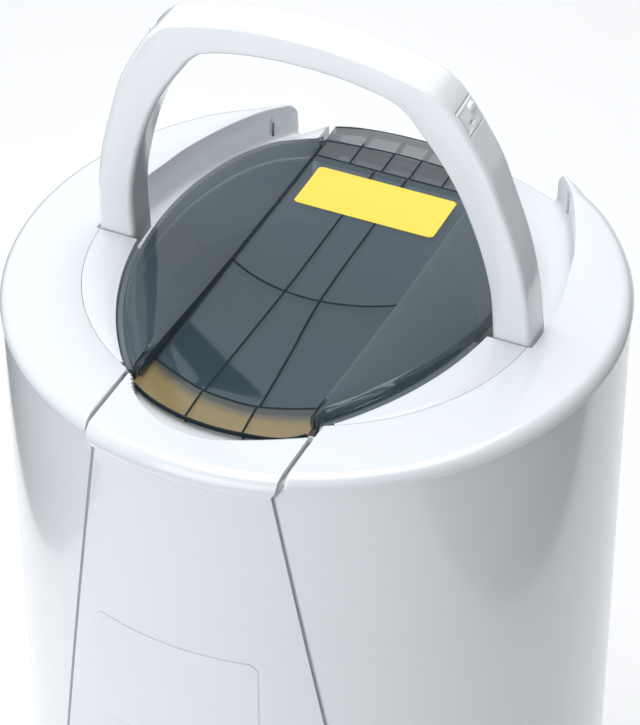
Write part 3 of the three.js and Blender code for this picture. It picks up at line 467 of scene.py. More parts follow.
def cut(piece: bpy.types.Object, cutter: bpy.types.Object) -> bpy.types.Object:
    """Cuts one closed piece out of another and deletes the cutter.

    Args:
        piece: the piece that stays.
        cutter: the closed shape taken out.

    Returns:
        The piece.
    """
    rule = piece.modifiers.new("cut", "BOOLEAN")
    rule.operation = "DIFFERENCE"
    rule.solver = "EXACT"
    rule.object = cutter
    bpy.context.view_layer.update()
    applied(piece)
    bpy.data.objects.remove(cutter, do_unlink=True)
    return piece


def block(low: Point3, high: Point3, turn: Matrix | None = None) -> bpy.types.Object:
    """Makes a plain closed box that is only used as a cutter.

    Args:
        low: lowest corner in mm.
        high: highest corner in mm.
        turn: a placing applied to the corners, in mm.

    Returns:
        The cutter.
    """
    corners = [Vector(corner) for corner in product(*zip(low, high))]
    if turn is not None:
        corners = [turn @ corner for corner in corners]
    faces = [(0, 1, 3, 2), (4, 6, 7, 5), (0, 4, 5, 1), (2, 3, 7, 6), (0, 2, 6, 4), (1, 5, 7, 3)]
    return Surface([tuple(corner) for corner in corners], faces).build("cutter", WHITE)


def turned(profile: Sequence[Point2], centre: Point3 = (0.0, 0.0, 0.0), steps: int = 96,
           axis: Axis = Axis.UPRIGHT) -> Surface:
    """Spins a closed profile of (radius, height) pairs.

    Args:
        profile: the section, in order, without repeating the first pair.
        centre: where the axis meets height zero.
        steps: facets round the axis.
        axis: which way the axis runs.

    Returns:
        The surface.
    """
    rows = []
    for i in range(steps):
        turn = 2 * math.pi * i / steps
        c, s = math.cos(turn), math.sin(turn)
        if axis is Axis.UPRIGHT:
            rows.append([(centre[0] + r * c, centre[1] + r * s, centre[2] + h) for r, h in profile])
        else:
            rows.append([(centre[0] + r * c, centre[1] + h, centre[2] + r * s) for r, h in profile])
    return Surface().loft(rows, across=True, along=True)


def capped(rows: Sequence[Sequence[Point3]]) -> Surface:
    """Makes a closed solid from rings of points, with a face on its first and last ring."""
    return Surface().loft(rows, across=True).fan(rows[0]).fan(rows[-1])


def flipped(rows: Sequence[Sequence[Point3]], side: float) -> list[list[Point3]]:
    """Puts rows drawn for the right side on the given side: 1 is right and -1 is left."""
    return [[(side * x, y, z) for x, y, z in row] for row in rows]


def film(left: float, right: float, low: float, high: float, corner: float, steps: tuple[int, int],
         place: Callable[[float, float], Point3]) -> Surface:
    """Makes a thin label's sheet with rounded corners.

    Args:
        left: its left edge.
        right: its right edge.
        low: its lower or front edge.
        high: its upper or back edge.
        corner: radius of its corners.
        steps: faces across and along.
        place: puts a point of the flat label on its surface.

    Returns:
        The sheet.
    """
    rows = []
    for i in range(steps[0] + 1):
        x = left + (right - left) * i / steps[0]
        run = max(corner - min(x - left, right - x), 0.0)
        inset = corner - math.sqrt(max(corner * corner - run ** 2, 0.0))
        rows.append([place(x, (low + inset) + (high - low - 2 * inset) * j / steps[1])
                     for j in range(steps[1] + 1)])
    return Surface().loft(rows)


def arc(centre: Point2, radius: float, start: float, end: float, steps: int) -> list[Point2]:
    """Points on an arc.

    Args:
        centre: its centre.
        radius: its radius.
        start: first angle in degrees.
        end: last angle in degrees.
        steps: spaces between points.

    Returns:
        The points, ends included.
    """
    made = []
    for i in range(steps + 1):
        turn = math.radians(start + (end - start) * i / steps)
        made.append((centre[0] + radius * math.cos(turn), centre[1] + radius * math.sin(turn)))
    return made


def spline(knots: Sequence[Point2], steps: int) -> list[Point2]:
    """A smooth line through knots.

    Args:
        knots: the points it passes.
        steps: spaces between points on each stretch.

    Returns:
        The points.
    """
    made = []
    for i in range(len(knots) - 1):
        p0, p1 = Vector(knots[max(i - 1, 0)]), Vector(knots[i])
        p2, p3 = Vector(knots[i + 1]), Vector(knots[min(i + 2, len(knots) - 1)])
        for j in range(steps):
            t = j / steps
            q = 0.5 * ((2 * p1) + (p2 - p0) * t + (2 * p0 - 5 * p1 + 4 * p2 - p3) * t * t
                       + (3 * p1 - p0 - 3 * p2 + p3) * t ** 3)
            made.append((q.x, q.y))
    made.append(tuple(knots[-1]))
    return made


def between(value: float, table: Sequence[Point2]) -> float:
    """Reads a value off a line of (position, value) pairs.

    Args:
        value: the position.
        table: the pairs, in rising order.

    Returns:
        The value there, held at both ends.
    """
    if value <= table[0][0]:
        return table[0][1]
    for (a, va), (b, vb) in zip(table, table[1:]):
        if value <= b:
            return va + (vb - va) * (value - a) / (b - a)
    return table[-1][1]


def stepped(start: float, end: float, stride: float) -> list[float]:
    """Evenly spaced values from a start as far as an end, which they don't pass."""
    return [start + stride * i for i in range(int((end - start) / stride + 1e-9) + 1)]


def eased(t: float) -> float:
    """Eases 0 to 1 with flat ends."""
    t = min(max(t, 0.0), 1.0)
    return t * t * (3 - 2 * t)


def dress(piece: bpy.types.Object, body: Body, replaced: Sequence[str] = ()) -> bpy.types.Object:
    """Sets a finished piece on its body.

    Args:
        piece: the piece.
        body: the CAD body it rides on.
        replaced: the CAD nodes it stands for.

    Returns:
        The piece.
    """
    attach(piece, body.value)
    if replaced:
        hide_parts(*replaced)
    log.info("%s: %d faces on %s", piece.name, len(piece.data.polygons), body.value)
    return piece


def white_moulding(surface: Surface, name: str, wall: float = 0.0, replaced: Sequence[str] = ()) -> None:
    """Builds one of the housing's white mouldings and dresses it.

    Args:
        surface: its faces.
        name: the piece's name.
        wall: the thickness behind the faces in mm, or 0 for a closed solid.
        replaced: the CAD nodes it stands for.
    """
    piece = surface.build(name, WHITE)
    if wall:
        thickened(piece, wall)
    dress(piece, Body.HOUSING, replaced)


# ---------------------------------------------------------------- plan outlines


def lid_side(reach: float) -> list[Point2]:
    """The right half of the lid's outline, from the front corner to the rear end of the band.

    Args:
        reach: how far outside the lid's own edge, in mm.

    Returns:
        Points from front to back.
    """
    across, along, radius = LID_ARC
    made = []
    for i in range(49):
        y = LID_TIP_Y + (LID_ARC_END_Y - LID_TIP_Y) * i / 48
        made.append((max(math.sqrt((radius + reach) ** 2 - (y - along) ** 2) - across, BAND_HALF + 0.8), y))
    rear = spline([(99.17, LID_ARC_END_Y), (97.6, 51.0), (94.3, 65.0), (90.1, 78.0), (83.8, 91.2),
                   (74.8, 103.4), (63.6, 111.8), (51.0, 118.6)], 6)
    for (ax, ay), (bx, by) in zip(rear, rear[1:]):
        away = Vector((by - ay, ax - bx)).normalized() * reach
        made.append((bx + away.x, by + away.y))
    return made


def polar_reach(outline: Sequence[Point2], turn: float) -> float:
    """How far an outline is from the axis in one direction.

    Args:
        outline: points from front to back on the right side.
        turn: the direction in degrees from the front.

    Returns:
        The distance in mm.
    """
    angles = [math.degrees(math.atan2(x, -y)) for x, y in outline]
    radii = [math.hypot(x, y) for x, y in outline]
    return between(turn, sorted(zip(angles, radii)))


def mouth_lip() -> list[Point2]:
    """The rounded edge of the drum mouth, as (radius, height) pairs up to the well's floor."""
    return [(MOUTH_R, TOP - 39.0), (MOUTH_R, WELL_Z - 2.0), (MOUTH_R + 0.6, WELL_Z - 0.6),
            (MOUTH_R + 2.0, WELL_Z)]


def panel_half(z: float, half: float, low: float, corner: float) -> float:
    """Half the width of the lever's panel, or of its opening, below the seam.

    Args:
        z: the height.
        half: half the width at the seam.
        low: the lower end.
        corner: radius of the lower corners.

    Returns:
        The half width in mm.
    """
    width = half + LEVER_SLOPE * (LEVER_SEAM_Z - z)
    run = low + corner - z
    if run > 0:
        width -= corner - math.sqrt(max(corner ** 2 - run ** 2, 0.0))
    return width


# ---------------------------------------------------------------- the housing's mouldings


@dataclass
class Column:
    """One radial section of a moulding: at an angle, or cut along a plane, and set in by a small rounding."""

    turn: float = 0.0  # degrees from the front
    lead: float = 0.0  # degrees by which the rim end lies nearer the front
    plane_x: float | None = None
    plane_y: float | None = None
    inset: float = 0.0

    def point(self, radius: float, height: float) -> Point3:
        """Places one point of the section.

        Args:
            radius: distance from the axis.
            height: height above the floor.

        Returns:
            The point.
        """
        if self.plane_x is not None:
            return (self.plane_x, -math.sqrt(max(radius ** 2 - self.plane_x ** 2, 0.0)), height)
        if self.plane_y is not None:
            return (math.sqrt(max(radius ** 2 - self.plane_y ** 2, 0.0)), self.plane_y, height)
        a = math.radians(self.turn - self.lead * (radius - SEAM_R) / (BODY_R - SEAM_R))
        return (radius * math.sin(a), -radius * math.cos(a), height)

    def angle(self, radius: float) -> float:
        """The direction of the section at a radius, in degrees from the front."""
        x, y, _ = self.point(radius, 0.0)
        return math.degrees(math.atan2(x, -y))

    def section(self, profile: Sequence[Point2]) -> list[Point3]:
        """Places a whole profile, set in along its own normals.

        Args:
            profile: (radius, height) pairs from the inside to the rim.

        Returns:
            The points.
        """
        made = []
        for i, (r, h) in enumerate(profile):
            before, after = profile[max(i - 1, 0)], profile[min(i + 1, len(profile) - 1)]
            along = Vector((after[0] - before[0], after[1] - before[1]))
            away = Vector((along.y, -along.x)).normalized() if along.length > 1e-6 else Vector((0.0, -1.0))
            if i >= len(profile) - RIM_POINTS:
                away = Vector((-1.0, 0.0))  # the rim's lower edge only moves inwards
            made.append(self.point(r + away.x * self.inset, h + away.y * self.inset))
        return made


def seam_columns(edge: float) -> list[Column]:
    """Sections that round a seam's edge off along planes of constant x.

    Args:
        edge: the seam's plane; the moulding goes on to larger x.

    Returns:
        The sections, from the seam inwards into the moulding.
    """
    steps = ((0.0, 3.0), (0.0, 0.9), (0.25, 0.35), (0.8, 0.05), (1.6, 0.0))
    return [Column(plane_x=edge + run, inset=inset) for run, inset in steps]


@dataclass
class TopCover:
    """The big white cover: rim, flat ring, two wings beside the handle recess, and the rear deck."""

    rim_fillet: float = 8.0
    deck_fillet: float = 4.5
    rim_drop: float = 6.7
    cove: float = 4.8
    wing_end: float = 151.4
    wing_corner: float = 6.5
    wing_run: float = 60.0
    wing_fall: float = 4.4
    wall: float = 1.1
    skirt_turn: float = 146.5
    recess_front: float = -10.5
    ring_end_turn: float = 85.0
    ring_gap: float = 6.0
    floor_gap: float = 1.2
    thin_wall: float = 1.3
    pocket: tuple[Point3, Point3] = ((-66.0, 100.0, TOP - 60.0), (55.0, 153.0, TOP + 5.0))
    slot: tuple[Point3, Point3] = ((-4.0, -0.9, TOP - 21.8), (2.0, 0.9, TOP - 12.7))
    slot_spot: Point2 = (92.2, 138.5)
    slot_turn: float = 32.0
    shoulder_x: float = -81.0
    shoulder_run: float = 15.2
    shoulder_rise: float = 5.6

    def recess_radius(self, turn: float) -> float:
        """Distance from the axis to the recess's outer wall, in one direction.

        Args:
            turn: the direction in degrees from the front.

        Returns:
            The distance in mm.
        """
        wall = [(129.6, -10.5), (130.0, 0.0), (130.0, 15.0), (129.2, 30.0), (126.0, 48.0), (123.2, 60.0),
                (120.1, 75.0), (115.3, 90.0), (109.4, 105.0), (102.8, 120.0), (95.2, 135.0), (84.6, 150.0),
                (82.6, 157.0), (86.0, 190.0)]
        return polar_reach(spline(wall, 5), turn)

    def slope(self, turn: float) -> float:
        """How far the wing's top has sunk at a direction, before its end is rounded off, in mm."""
        run = math.radians(self.wing_end - turn) * BODY_R
        return self.wing_fall * max(1.0 - run / self.wing_run, 0.0) ** 2

    def crest(self, turn: float) -> float:
        """How far the top has dropped near the wing's end.

        Args:
            turn: the direction in degrees from the front.

        Returns:
            The drop in mm.
        """
        if turn > self.wing_end + 0.01:
            return RECESS_DROP
        run = math.radians(self.wing_end - turn) * BODY_R
        fall, r = self.slope(turn), self.wing_corner
        return fall if run >= r else fall + r - math.sqrt(max(r * r - (r - run) ** 2, 0.0))

    def ring_inside(self, column: Column) -> list[Point2]:
        """The seam face of the flat ring in front of the recess.

        Args:
            column: where the section stands.

        Returns:
            12 (radius, height) pairs.
        """
        inner = max(SEAM_R + 0.1, polar_reach(lid_side(self.ring_gap), column.angle(128.0)))
        made = [(inner, TOP - 26.0 + i * 2.8) for i in range(9)]
        return made + [(inner, TOP - 0.3), (inner + 0.08, TOP - 0.08), (inner + 0.3, TOP)]

    def recess_inside(self, turn: float, drop: float) -> list[Point2]:
        """The recess's floor, cove and wall beside a wing, or the flat deck behind the wings.

        Args:
            turn: the direction in degrees from the front.
            drop: how far the top has dropped there.

        Returns:
            12 (radius, height) pairs.
        """
        well = polar_reach(lid_side(self.floor_gap), turn)
        if drop >= RECESS_DROP:
            settle = min(max(turn - self.wing_end, 0.0), 1.0)
            edge_r = BODY_R - self.thin_wall - 3.7 * settle
            radii = [edge_r + settle * (i * 0.4 - 3.0) for i in range(9)]
            return [(r, RECESS_Z) for r in (well, (well + edge_r - 0.01) / 2, *radii, radii[-1])]
        wall_r = min(self.recess_radius(turn), BODY_R - self.thin_wall)
        cove = min(self.cove, (wall_r - well) * 0.6)
        edge = min(1.2, (BODY_R - wall_r) * 0.4)
        top = TOP - drop
        made = [(well, RECESS_Z), ((well + wall_r - cove) / 2, RECESS_Z)]
        made += arc((wall_r - cove, RECESS_Z + cove), cove, -90.0, 0.0, 5)
        made += [(wall_r, max(top - edge, RECESS_Z + cove)), (wall_r + edge * 0.3, top - edge * 0.3)]
        return made + [(wall_r + edge, top)] * 2

    def profile(self, column: Column) -> list[Point2]:
        """The section from the inside to the rim for one column.

        Args:
            column: where the section stands.

        Returns:
            (radius, height) pairs, always the same number.
        """
        turn = column.angle(150.0)
        if column.plane_y is None:
            front = column.turn < self.ring_end_turn
        else:
            front = column.plane_y < self.recess_front
        drop = 0.0 if front else self.crest(turn)
        made = self.ring_inside(column) if front else self.recess_inside(turn, drop)
        start = made[-1][0]
        fillet = min(self.deck_fillet if drop >= RECESS_DROP else self.rim_fillet, (BODY_R - start) * 0.95)
        top = TOP - drop
        low = (RECESS_Z if turn > self.skirt_turn else top) - self.rim_drop
        made.append(((start + BODY_R - fillet) / 2, top))
        made += [(r, max(h, low)) for r, h in arc((BODY_R - fillet, top - fillet), fillet, 90.0, 0.0, 9)]
        return made + [(BODY_R - 0.1, low), (BODY_R - 0.6, low - 0.5), (BODY_R - 3.0, low - 0.6)]

    def columns(self) -> list[Column]:
        """Where the cover's sections stand.

        Returns:
            The sections from the lever's seam round to the back.
        """
        made = seam_columns(LEVER_TOP_HALF + LEVER_GAP)
        made += [Column(turn=27.4 + i, lead=7.2 * (1.0 - i / 24.0)) for i in range(25)]
        made += [Column(turn=52.4 + i) for i in range(33)]
        made += [Column(plane_y=self.recess_front - 0.01), Column(plane_y=self.recess_front + 0.01)]
        turns = stepped(87.0, self.skirt_turn - 0.3, 1.0)
        turns += [self.skirt_turn - 0.02, self.skirt_turn + 0.02, 147.3]
        runs = (10.0, 8.0, 6.5, 5.0, 3.6, 2.4, 1.4, 0.7, 0.25, 0.0)
        turns += [self.wing_end - math.degrees(run / BODY_R) for run in runs] + [self.wing_end + 0.02]
        turns += stepped(152.5, 179.6, 1.0) + [180.0]
        return made + [Column(turn=turn) for turn in turns]

    def make(self) -> None:
        """Builds the cover, cuts its slots and hinge pocket, and dresses it."""
        rows = [column.section(self.profile(column)) for column in self.columns()]
        piece = thickened(Surface().loft(rows).mirrored().build("cover_moulding", WHITE), self.wall)
        cut(piece, block(*self.pocket))
        for side in (-1.0, 1.0):
            spot = Matrix.Translation((side * self.slot_spot[0], self.slot_spot[1], 0.0))
            cut(piece, block(*self.slot, spot @ Matrix.Rotation(math.radians(side * self.slot_turn), 4, "Z")))
        dress(piece, Body.HOUSING, ("top_cover",))
        self.make_pocket()
        self.make_shoulder()

    def make_shoulder(self) -> None:
        """Builds the shoulder of the deck that rises towards the band on the left."""
        rows = []
        for i in range(13):
            t = i / 12
            x = self.shoulder_x + self.shoulder_run * t
            rim = math.sqrt((BODY_R - 0.3) ** 2 - x * x)
            z = RECESS_Z + self.shoulder_rise * t ** 1.3
            section = [(141.0, RECESS_Z - 1.0), (143.4, z - 0.5), (144.2, z), (rim - 2.4, z),
                       (rim - 0.8, z - 0.7), (rim, z - 2.6), (rim, RECESS_Z - 2.0)]
            rows.append([(x, y, h) for y, h in section])
        white_moulding(Surface().loft(rows, across=True).fan(rows[-1]), "deck_shoulder")

    def make_pocket(self) -> None:
        """Builds the hinge pocket behind the lid and its two lugs."""
        low = TOP - 28.0
        plan = [(-66.0, 119.0), (-66.0, 152.9), (55.0, 152.9), (55.0, 119.0)]
        bottom = [(x * 0.98, y - 1.0, low) for x, y in plan]
        rows = [[(x, y, RECESS_Z) for x, y in plan], [(x * 0.994, y, low + 1.0) for x, y in plan], bottom]
        white_moulding(Surface().loft(rows).fan(bottom), "hinge_pocket", 2.2)
        outline = [(126.1, low - 0.5), *arc(LID_PIVOT, LUG_R, 180.0, 0.0, 14), (135.9, low - 0.5)]
        for side, label in reversed(SIDES):
            lug = capped([[(side * x, y, z) for y, z in outline] for x in (55.1, 58.9)])
            white_moulding(lug, f"hinge_lug_{label}")


@dataclass
class InnerRing:
    """The white ring inside the cover and the well that the lid closes."""

    wall: float = 2.2
    end_y: float = -10.9
    seam_r: float = SEAM_R - 0.1
    well_gap: float = 5.6

    def profile(self, column: Column) -> list[Point2]:
        """The section from the drum mouth to the seam.

        Args:
            column: where the section stands.

        Returns:
            (radius, height) pairs.
        """
        well = polar_reach(lid_side(self.well_gap), column.angle(110.0))
        cove = min(3.5, max(well - MOUTH_R - 3.0, 0.2))
        edge = min(1.2, (self.seam_r - 0.8 - well) * 0.9)
        made = mouth_lip() + [((MOUTH_R + well) / 2, WELL_Z)]
        made += arc((well - cove, WELL_Z + cove), cove, -90.0, 0.0, 5)
        made += [(well, TOP - edge * 1.1), (well + edge * 0.3, TOP - edge * 0.34), (well + edge, TOP)]
        made += [((well + edge + self.seam_r - 0.8) / 2, TOP), (self.seam_r - 0.3, TOP)]
        return made + [(self.seam_r - 0.08, TOP - 0.08), (self.seam_r, TOP - 0.3), (self.seam_r, TOP - 3.0)]

    def make(self) -> None:
        """Builds the front half in full, the low wall behind it and the well's floor."""
        columns = [Column(turn=turn) for turn in stepped(24.0, 84.0, 0.5)
                   if polar_reach(lid_side(self.well_gap), turn) < SEAM_R - 1.6]
        columns.append(Column(plane_y=self.end_y))
        rows = [column.section(self.profile(column)) for column in columns]
        white_moulding(Surface().loft(rows).mirrored(), "ring_moulding", self.wall, ("inner_ring",))
        self.make_rear()
        self.make_sill()

    def make_rear(self) -> None:
        """Builds the low wall that runs round the back of the well under the lid's skirt."""
        low, high = WELL_Z, TOP - 12.8
        rows = []
        for turn in stepped(84.0, 155.0, 2.0):
            inner = polar_reach(lid_side(-1.6), turn)
            wall = [(-2.0, low), (-0.5, low + 0.6), (0.0, low + 2.0), (0.0, high - 0.4), (0.4, high),
                    (2.2, high), (2.6, high - 0.4), (2.6, low - 2.0)]
            section = mouth_lip() + [(inner + run, h) for run, h in wall]
            rows.append([Column(turn=turn).point(r, h) for r, h in section])
        white_moulding(Surface().loft(rows).mirrored(), "well_rear_wall", 0.6)

    def make_sill(self) -> None:
        """Builds the floor of the well at the front and back, between the drum mouth and the walls."""
        for label, start, end, reach in (("front", -31.0, 31.0, 123.0), ("back", 155.0, 205.0, 128.0)):
            section = mouth_lip() + [(reach - 1.0, WELL_Z), (reach, WELL_Z - 1.0), (reach, WELL_Z - 2.0)]
            turns = [start + (end - start) * i / 24 for i in range(25)]
            rows = [[Column(turn=turn).point(r, h) for r, h in section] for turn in turns]
            white_moulding(Surface().loft(rows), f"well_sill_{label}", 1.0)


@dataclass
class Casing:
    """The tall outer casing with the lever's opening in its front."""

    opening_low: float = 247.0
    lower_rows: tuple[float, ...] = (200.0, 150.0, 100.0, 60.0, 40.3)
    corner: float = 20.0
    wall: float = 2.4
    flange_top: float = TOP - 5.0
    bore_reach: Point2 = (100.0, 200.0)

    def seam(self, z: float) -> float:
        """Half the width of the opening.

        Args:
            z: the height.

        Returns:
            The half width in mm.
        """
        if z > LEVER_SEAM_Z:
            return PullLever().half_width(z) + SEAM_GAP
        return panel_half(z, LEVER_SEAM_HALF + SEAM_GAP, self.opening_low, self.corner)

    def heights(self) -> list[float]:
        """Heights of the casing's rows.

        Returns:
            The heights from the top down.
        """
        bend = self.opening_low + self.corner
        made = [TOP - drop for drop in (7.1, 8.2, 9.3, 10.4, 11.5, 12.6, 13.8, 15.2, 20.0)]
        made += stepped(TOP - 31.0, bend, -12.0)
        made += [self.opening_low + self.corner * (1 - math.sin(math.radians(a))) for a in range(0, 91, 10)]
        return made + list(self.lower_rows)

    def point(self, turn: float, z: float) -> Point3:
        """A point of the outside, at a direction in degrees from the front and a height."""
        a = math.radians(turn)
        return (CASING_R * math.sin(a), -CASING_R * math.cos(a), z)

    def make(self) -> None:
        """Builds the casing wall round the opening, the patch below it and the bores for the ports."""
        rows = []
        cover = TopCover()
        last = cover.skirt_turn - 0.05
        for z in self.heights():
            start = math.degrees(math.asin(self.seam(max(z, self.opening_low)) / CASING_R))
            side = [start + (last - start) * j / 104 for j in range(105)]
            row = [self.point(turn, min(z, CASING_TOP - cover.slope(turn))) for turn in side]
            back = [cover.skirt_turn - 0.03] + [147.0 + j for j in range(34)]
            rows.append(row + [self.point(turn, min(z, CASING_TOP - RECESS_DROP)) for turn in back])
        shell = Surface().loft(rows).mirrored()
        edge = math.degrees(math.asin(self.seam(self.opening_low) / CASING_R))
        turns = [edge * (i / 24 - 1) for i in range(49)]
        patch_rows = (self.opening_low, *self.lower_rows)
        shell.loft([[self.point(turn, z) for turn in turns] for z in patch_rows])
        piece = thickened(shell.build("casing_shell", WHITE), self.wall)
        start, end = self.bore_reach
        for x, r in ((-PORT_X, 10.6), (PORT_X, 7.4)):
            profile = [(0.01, start), (r, start), (r, end), (0.01, end)]
            cut(piece, turned(profile, (x, 0.0, PORT_Z), 32, Axis.FRONT_TO_BACK).build("cutter", WHITE))
        dress(piece, Body.HOUSING, ("outer_casing",))
        self.make_returns()

    def make_returns(self) -> None:
        """Builds the flanges that close the open seams beside the lever from behind."""
        r = CASING_R - 3.4
        run = self.flange_top - self.opening_low - 26.0
        inner, outer = LEVER_TOP_HALF - 2.5, LEVER_TOP_HALF + 5.0
        plan = [(inner, -160.6), (inner, -120.0), (outer, -120.0), (outer, -158.4)]
        for side, label in SIDES:
            rows = []
            for z in [self.flange_top - run * i / 39 for i in range(40)]:
                half = self.seam(z)
                rows.append([(side * (half + x), -math.sqrt(r * r - (half + x) ** 2) - 1.0 + abs(x) * 0.2, z)
                             for x in (-5.0, -2.5, 0.0, 2.5)])
            white_moulding(Surface().loft(rows), f"seam_return_{label}", 1.0)
            shelf = capped([[(side * x, y, z) for x, y in plan] for z in (TOP - 5.6, TOP - 4.6)])
            white_moulding(shelf, f"seam_shelf_{label}")


@dataclass
class PullLever:
    """The front lever: a top plate with the finger scoop, a full rounded lip and the long panel."""

    lip_r: float = 175.5
    lip_fillet: float = 8.5
    bottom: float = 250.0
    corner: float = 18.0
    plate_back: float = -117.9
    scoop_depth: float = 8.4
    wall: float = 2.6
    label_box: tuple[float, float, float, float] = (-57.0, 42.3, TOP - 205.0, TOP - 131.0)

    def half_width(self, z: float) -> float:
        """Half the panel's width.

        Args:
            z: the height.

        Returns:
            The half width in mm.
        """
        if z > LEVER_SEAM_Z:
            return LEVER_SEAM_HALF + (LEVER_TOP_HALF - LEVER_SEAM_HALF) * eased((z - LEVER_SEAM_Z) / 9.0)
        return panel_half(z, LEVER_SEAM_HALF, self.bottom, self.corner)

    def scoop(self, x: float, y: float) -> float:
        """Depth of the finger scoop at a point of the top plate.

        Args:
            x: distance across.
            y: distance along.

        Returns:
            The depth in mm.
        """
        edge = [(-54.0, -114.0), (-50.0, -121.0), (-45.0, -129.0), (-37.0, -136.5), (-29.0, -142.0),
                (-20.0, -146.3), (-11.0, -149.0), (6.0, -150.0), (16.0, -147.0), (28.0, -142.0),
                (40.0, -136.0), (54.0, -128.0)]
        run = y - between(x, spline(edge, 4))
        if run <= 0:
            return 0.0
        width = between(x, [(-54.0, 1.2), (-30.0, 1.6), (-10.0, 4.0), (4.0, 9.0), (30.0, 13.0), (54.0, 14.0)])
        return self.scoop_depth * eased(run / width)

    def panel_rows(self) -> list[list[Point3]]:
        """Rows of the panel and the lip.

        Returns:
            The rows from the bottom up and over to the top plate.
        """
        bend = self.bottom + self.corner
        heights = [self.bottom + self.corner * (1 - math.cos(math.radians(a))) for a in range(0, 91, 10)]
        section = [(CASING_R, z) for z in heights + stepped(bend + 10.0, TOP - 16.0, 12.0)]
        section += [(CASING_R, TOP - 14.5), (CASING_R + 0.2, TOP - 13.6), (CASING_R + 1.2, TOP - 12.7),
                    (CASING_R + 2.8, TOP - 11.6), (self.lip_r - 0.4, TOP - 10.2)]
        section += arc((self.lip_r - self.lip_fillet, TOP - self.lip_fillet), self.lip_fillet, 0.0, 90.0, 12)
        section += [(165.0, TOP), (162.0, TOP)]
        rows = []
        for r, z in section:
            across = [self.half_width(z) * (2 * j / 64 - 1) for j in range(65)]
            rows.append([(x, -math.sqrt(r * r - x * x), z) for x in across])
        return rows

    def plate_rows(self, last: Sequence[Point3]) -> list[list[Point3]]:
        """Rows of the top plate from the lip back under the lid's nose.

        Args:
            last: the lip's last row, which the plate goes on from.

        Returns:
            The rows.
        """
        rows = []
        for i in range(1, 61):
            row = [(x, y + (self.plate_back - y) * (i / 60)) for x, y, _ in last]
            rows.append([(x, y, TOP - self.scoop(x, y)) for x, y in row])
        return rows

    def make(self) -> None:
        """Builds the lever as one sheet with a wall, and its plain label."""
        rows = self.panel_rows()
        rows += self.plate_rows(rows[-1])
        piece = thickened(Surface().loft(rows).build("lever_moulding", WHITE, 50.0), self.wall)
        rule = piece.modifiers.new("edges", "BEVEL")
        rule.width = 0.5 * MM
        rule.segments = 2
        rule.limit_method = "ANGLE"
        rule.angle_limit = math.radians(60.0)
        dress(applied(piece), Body.LEVER, ("front_lever",))
        self.make_label()

    def make_label(self) -> None:
        """Builds the bare pale label on the panel."""
        r = CASING_R + 0.12
        sheet = film(*self.label_box, 4.0, (24, 12), lambda x, z: (x, -math.sqrt(r ** 2 - x * x), z))
        piece = thickened(sheet.build("lever_label", PAPER), 0.3, 1.0)
        dress(piece, Body.LEVER, ("front_label",))


# ---------------------------------------------------------------- the lid


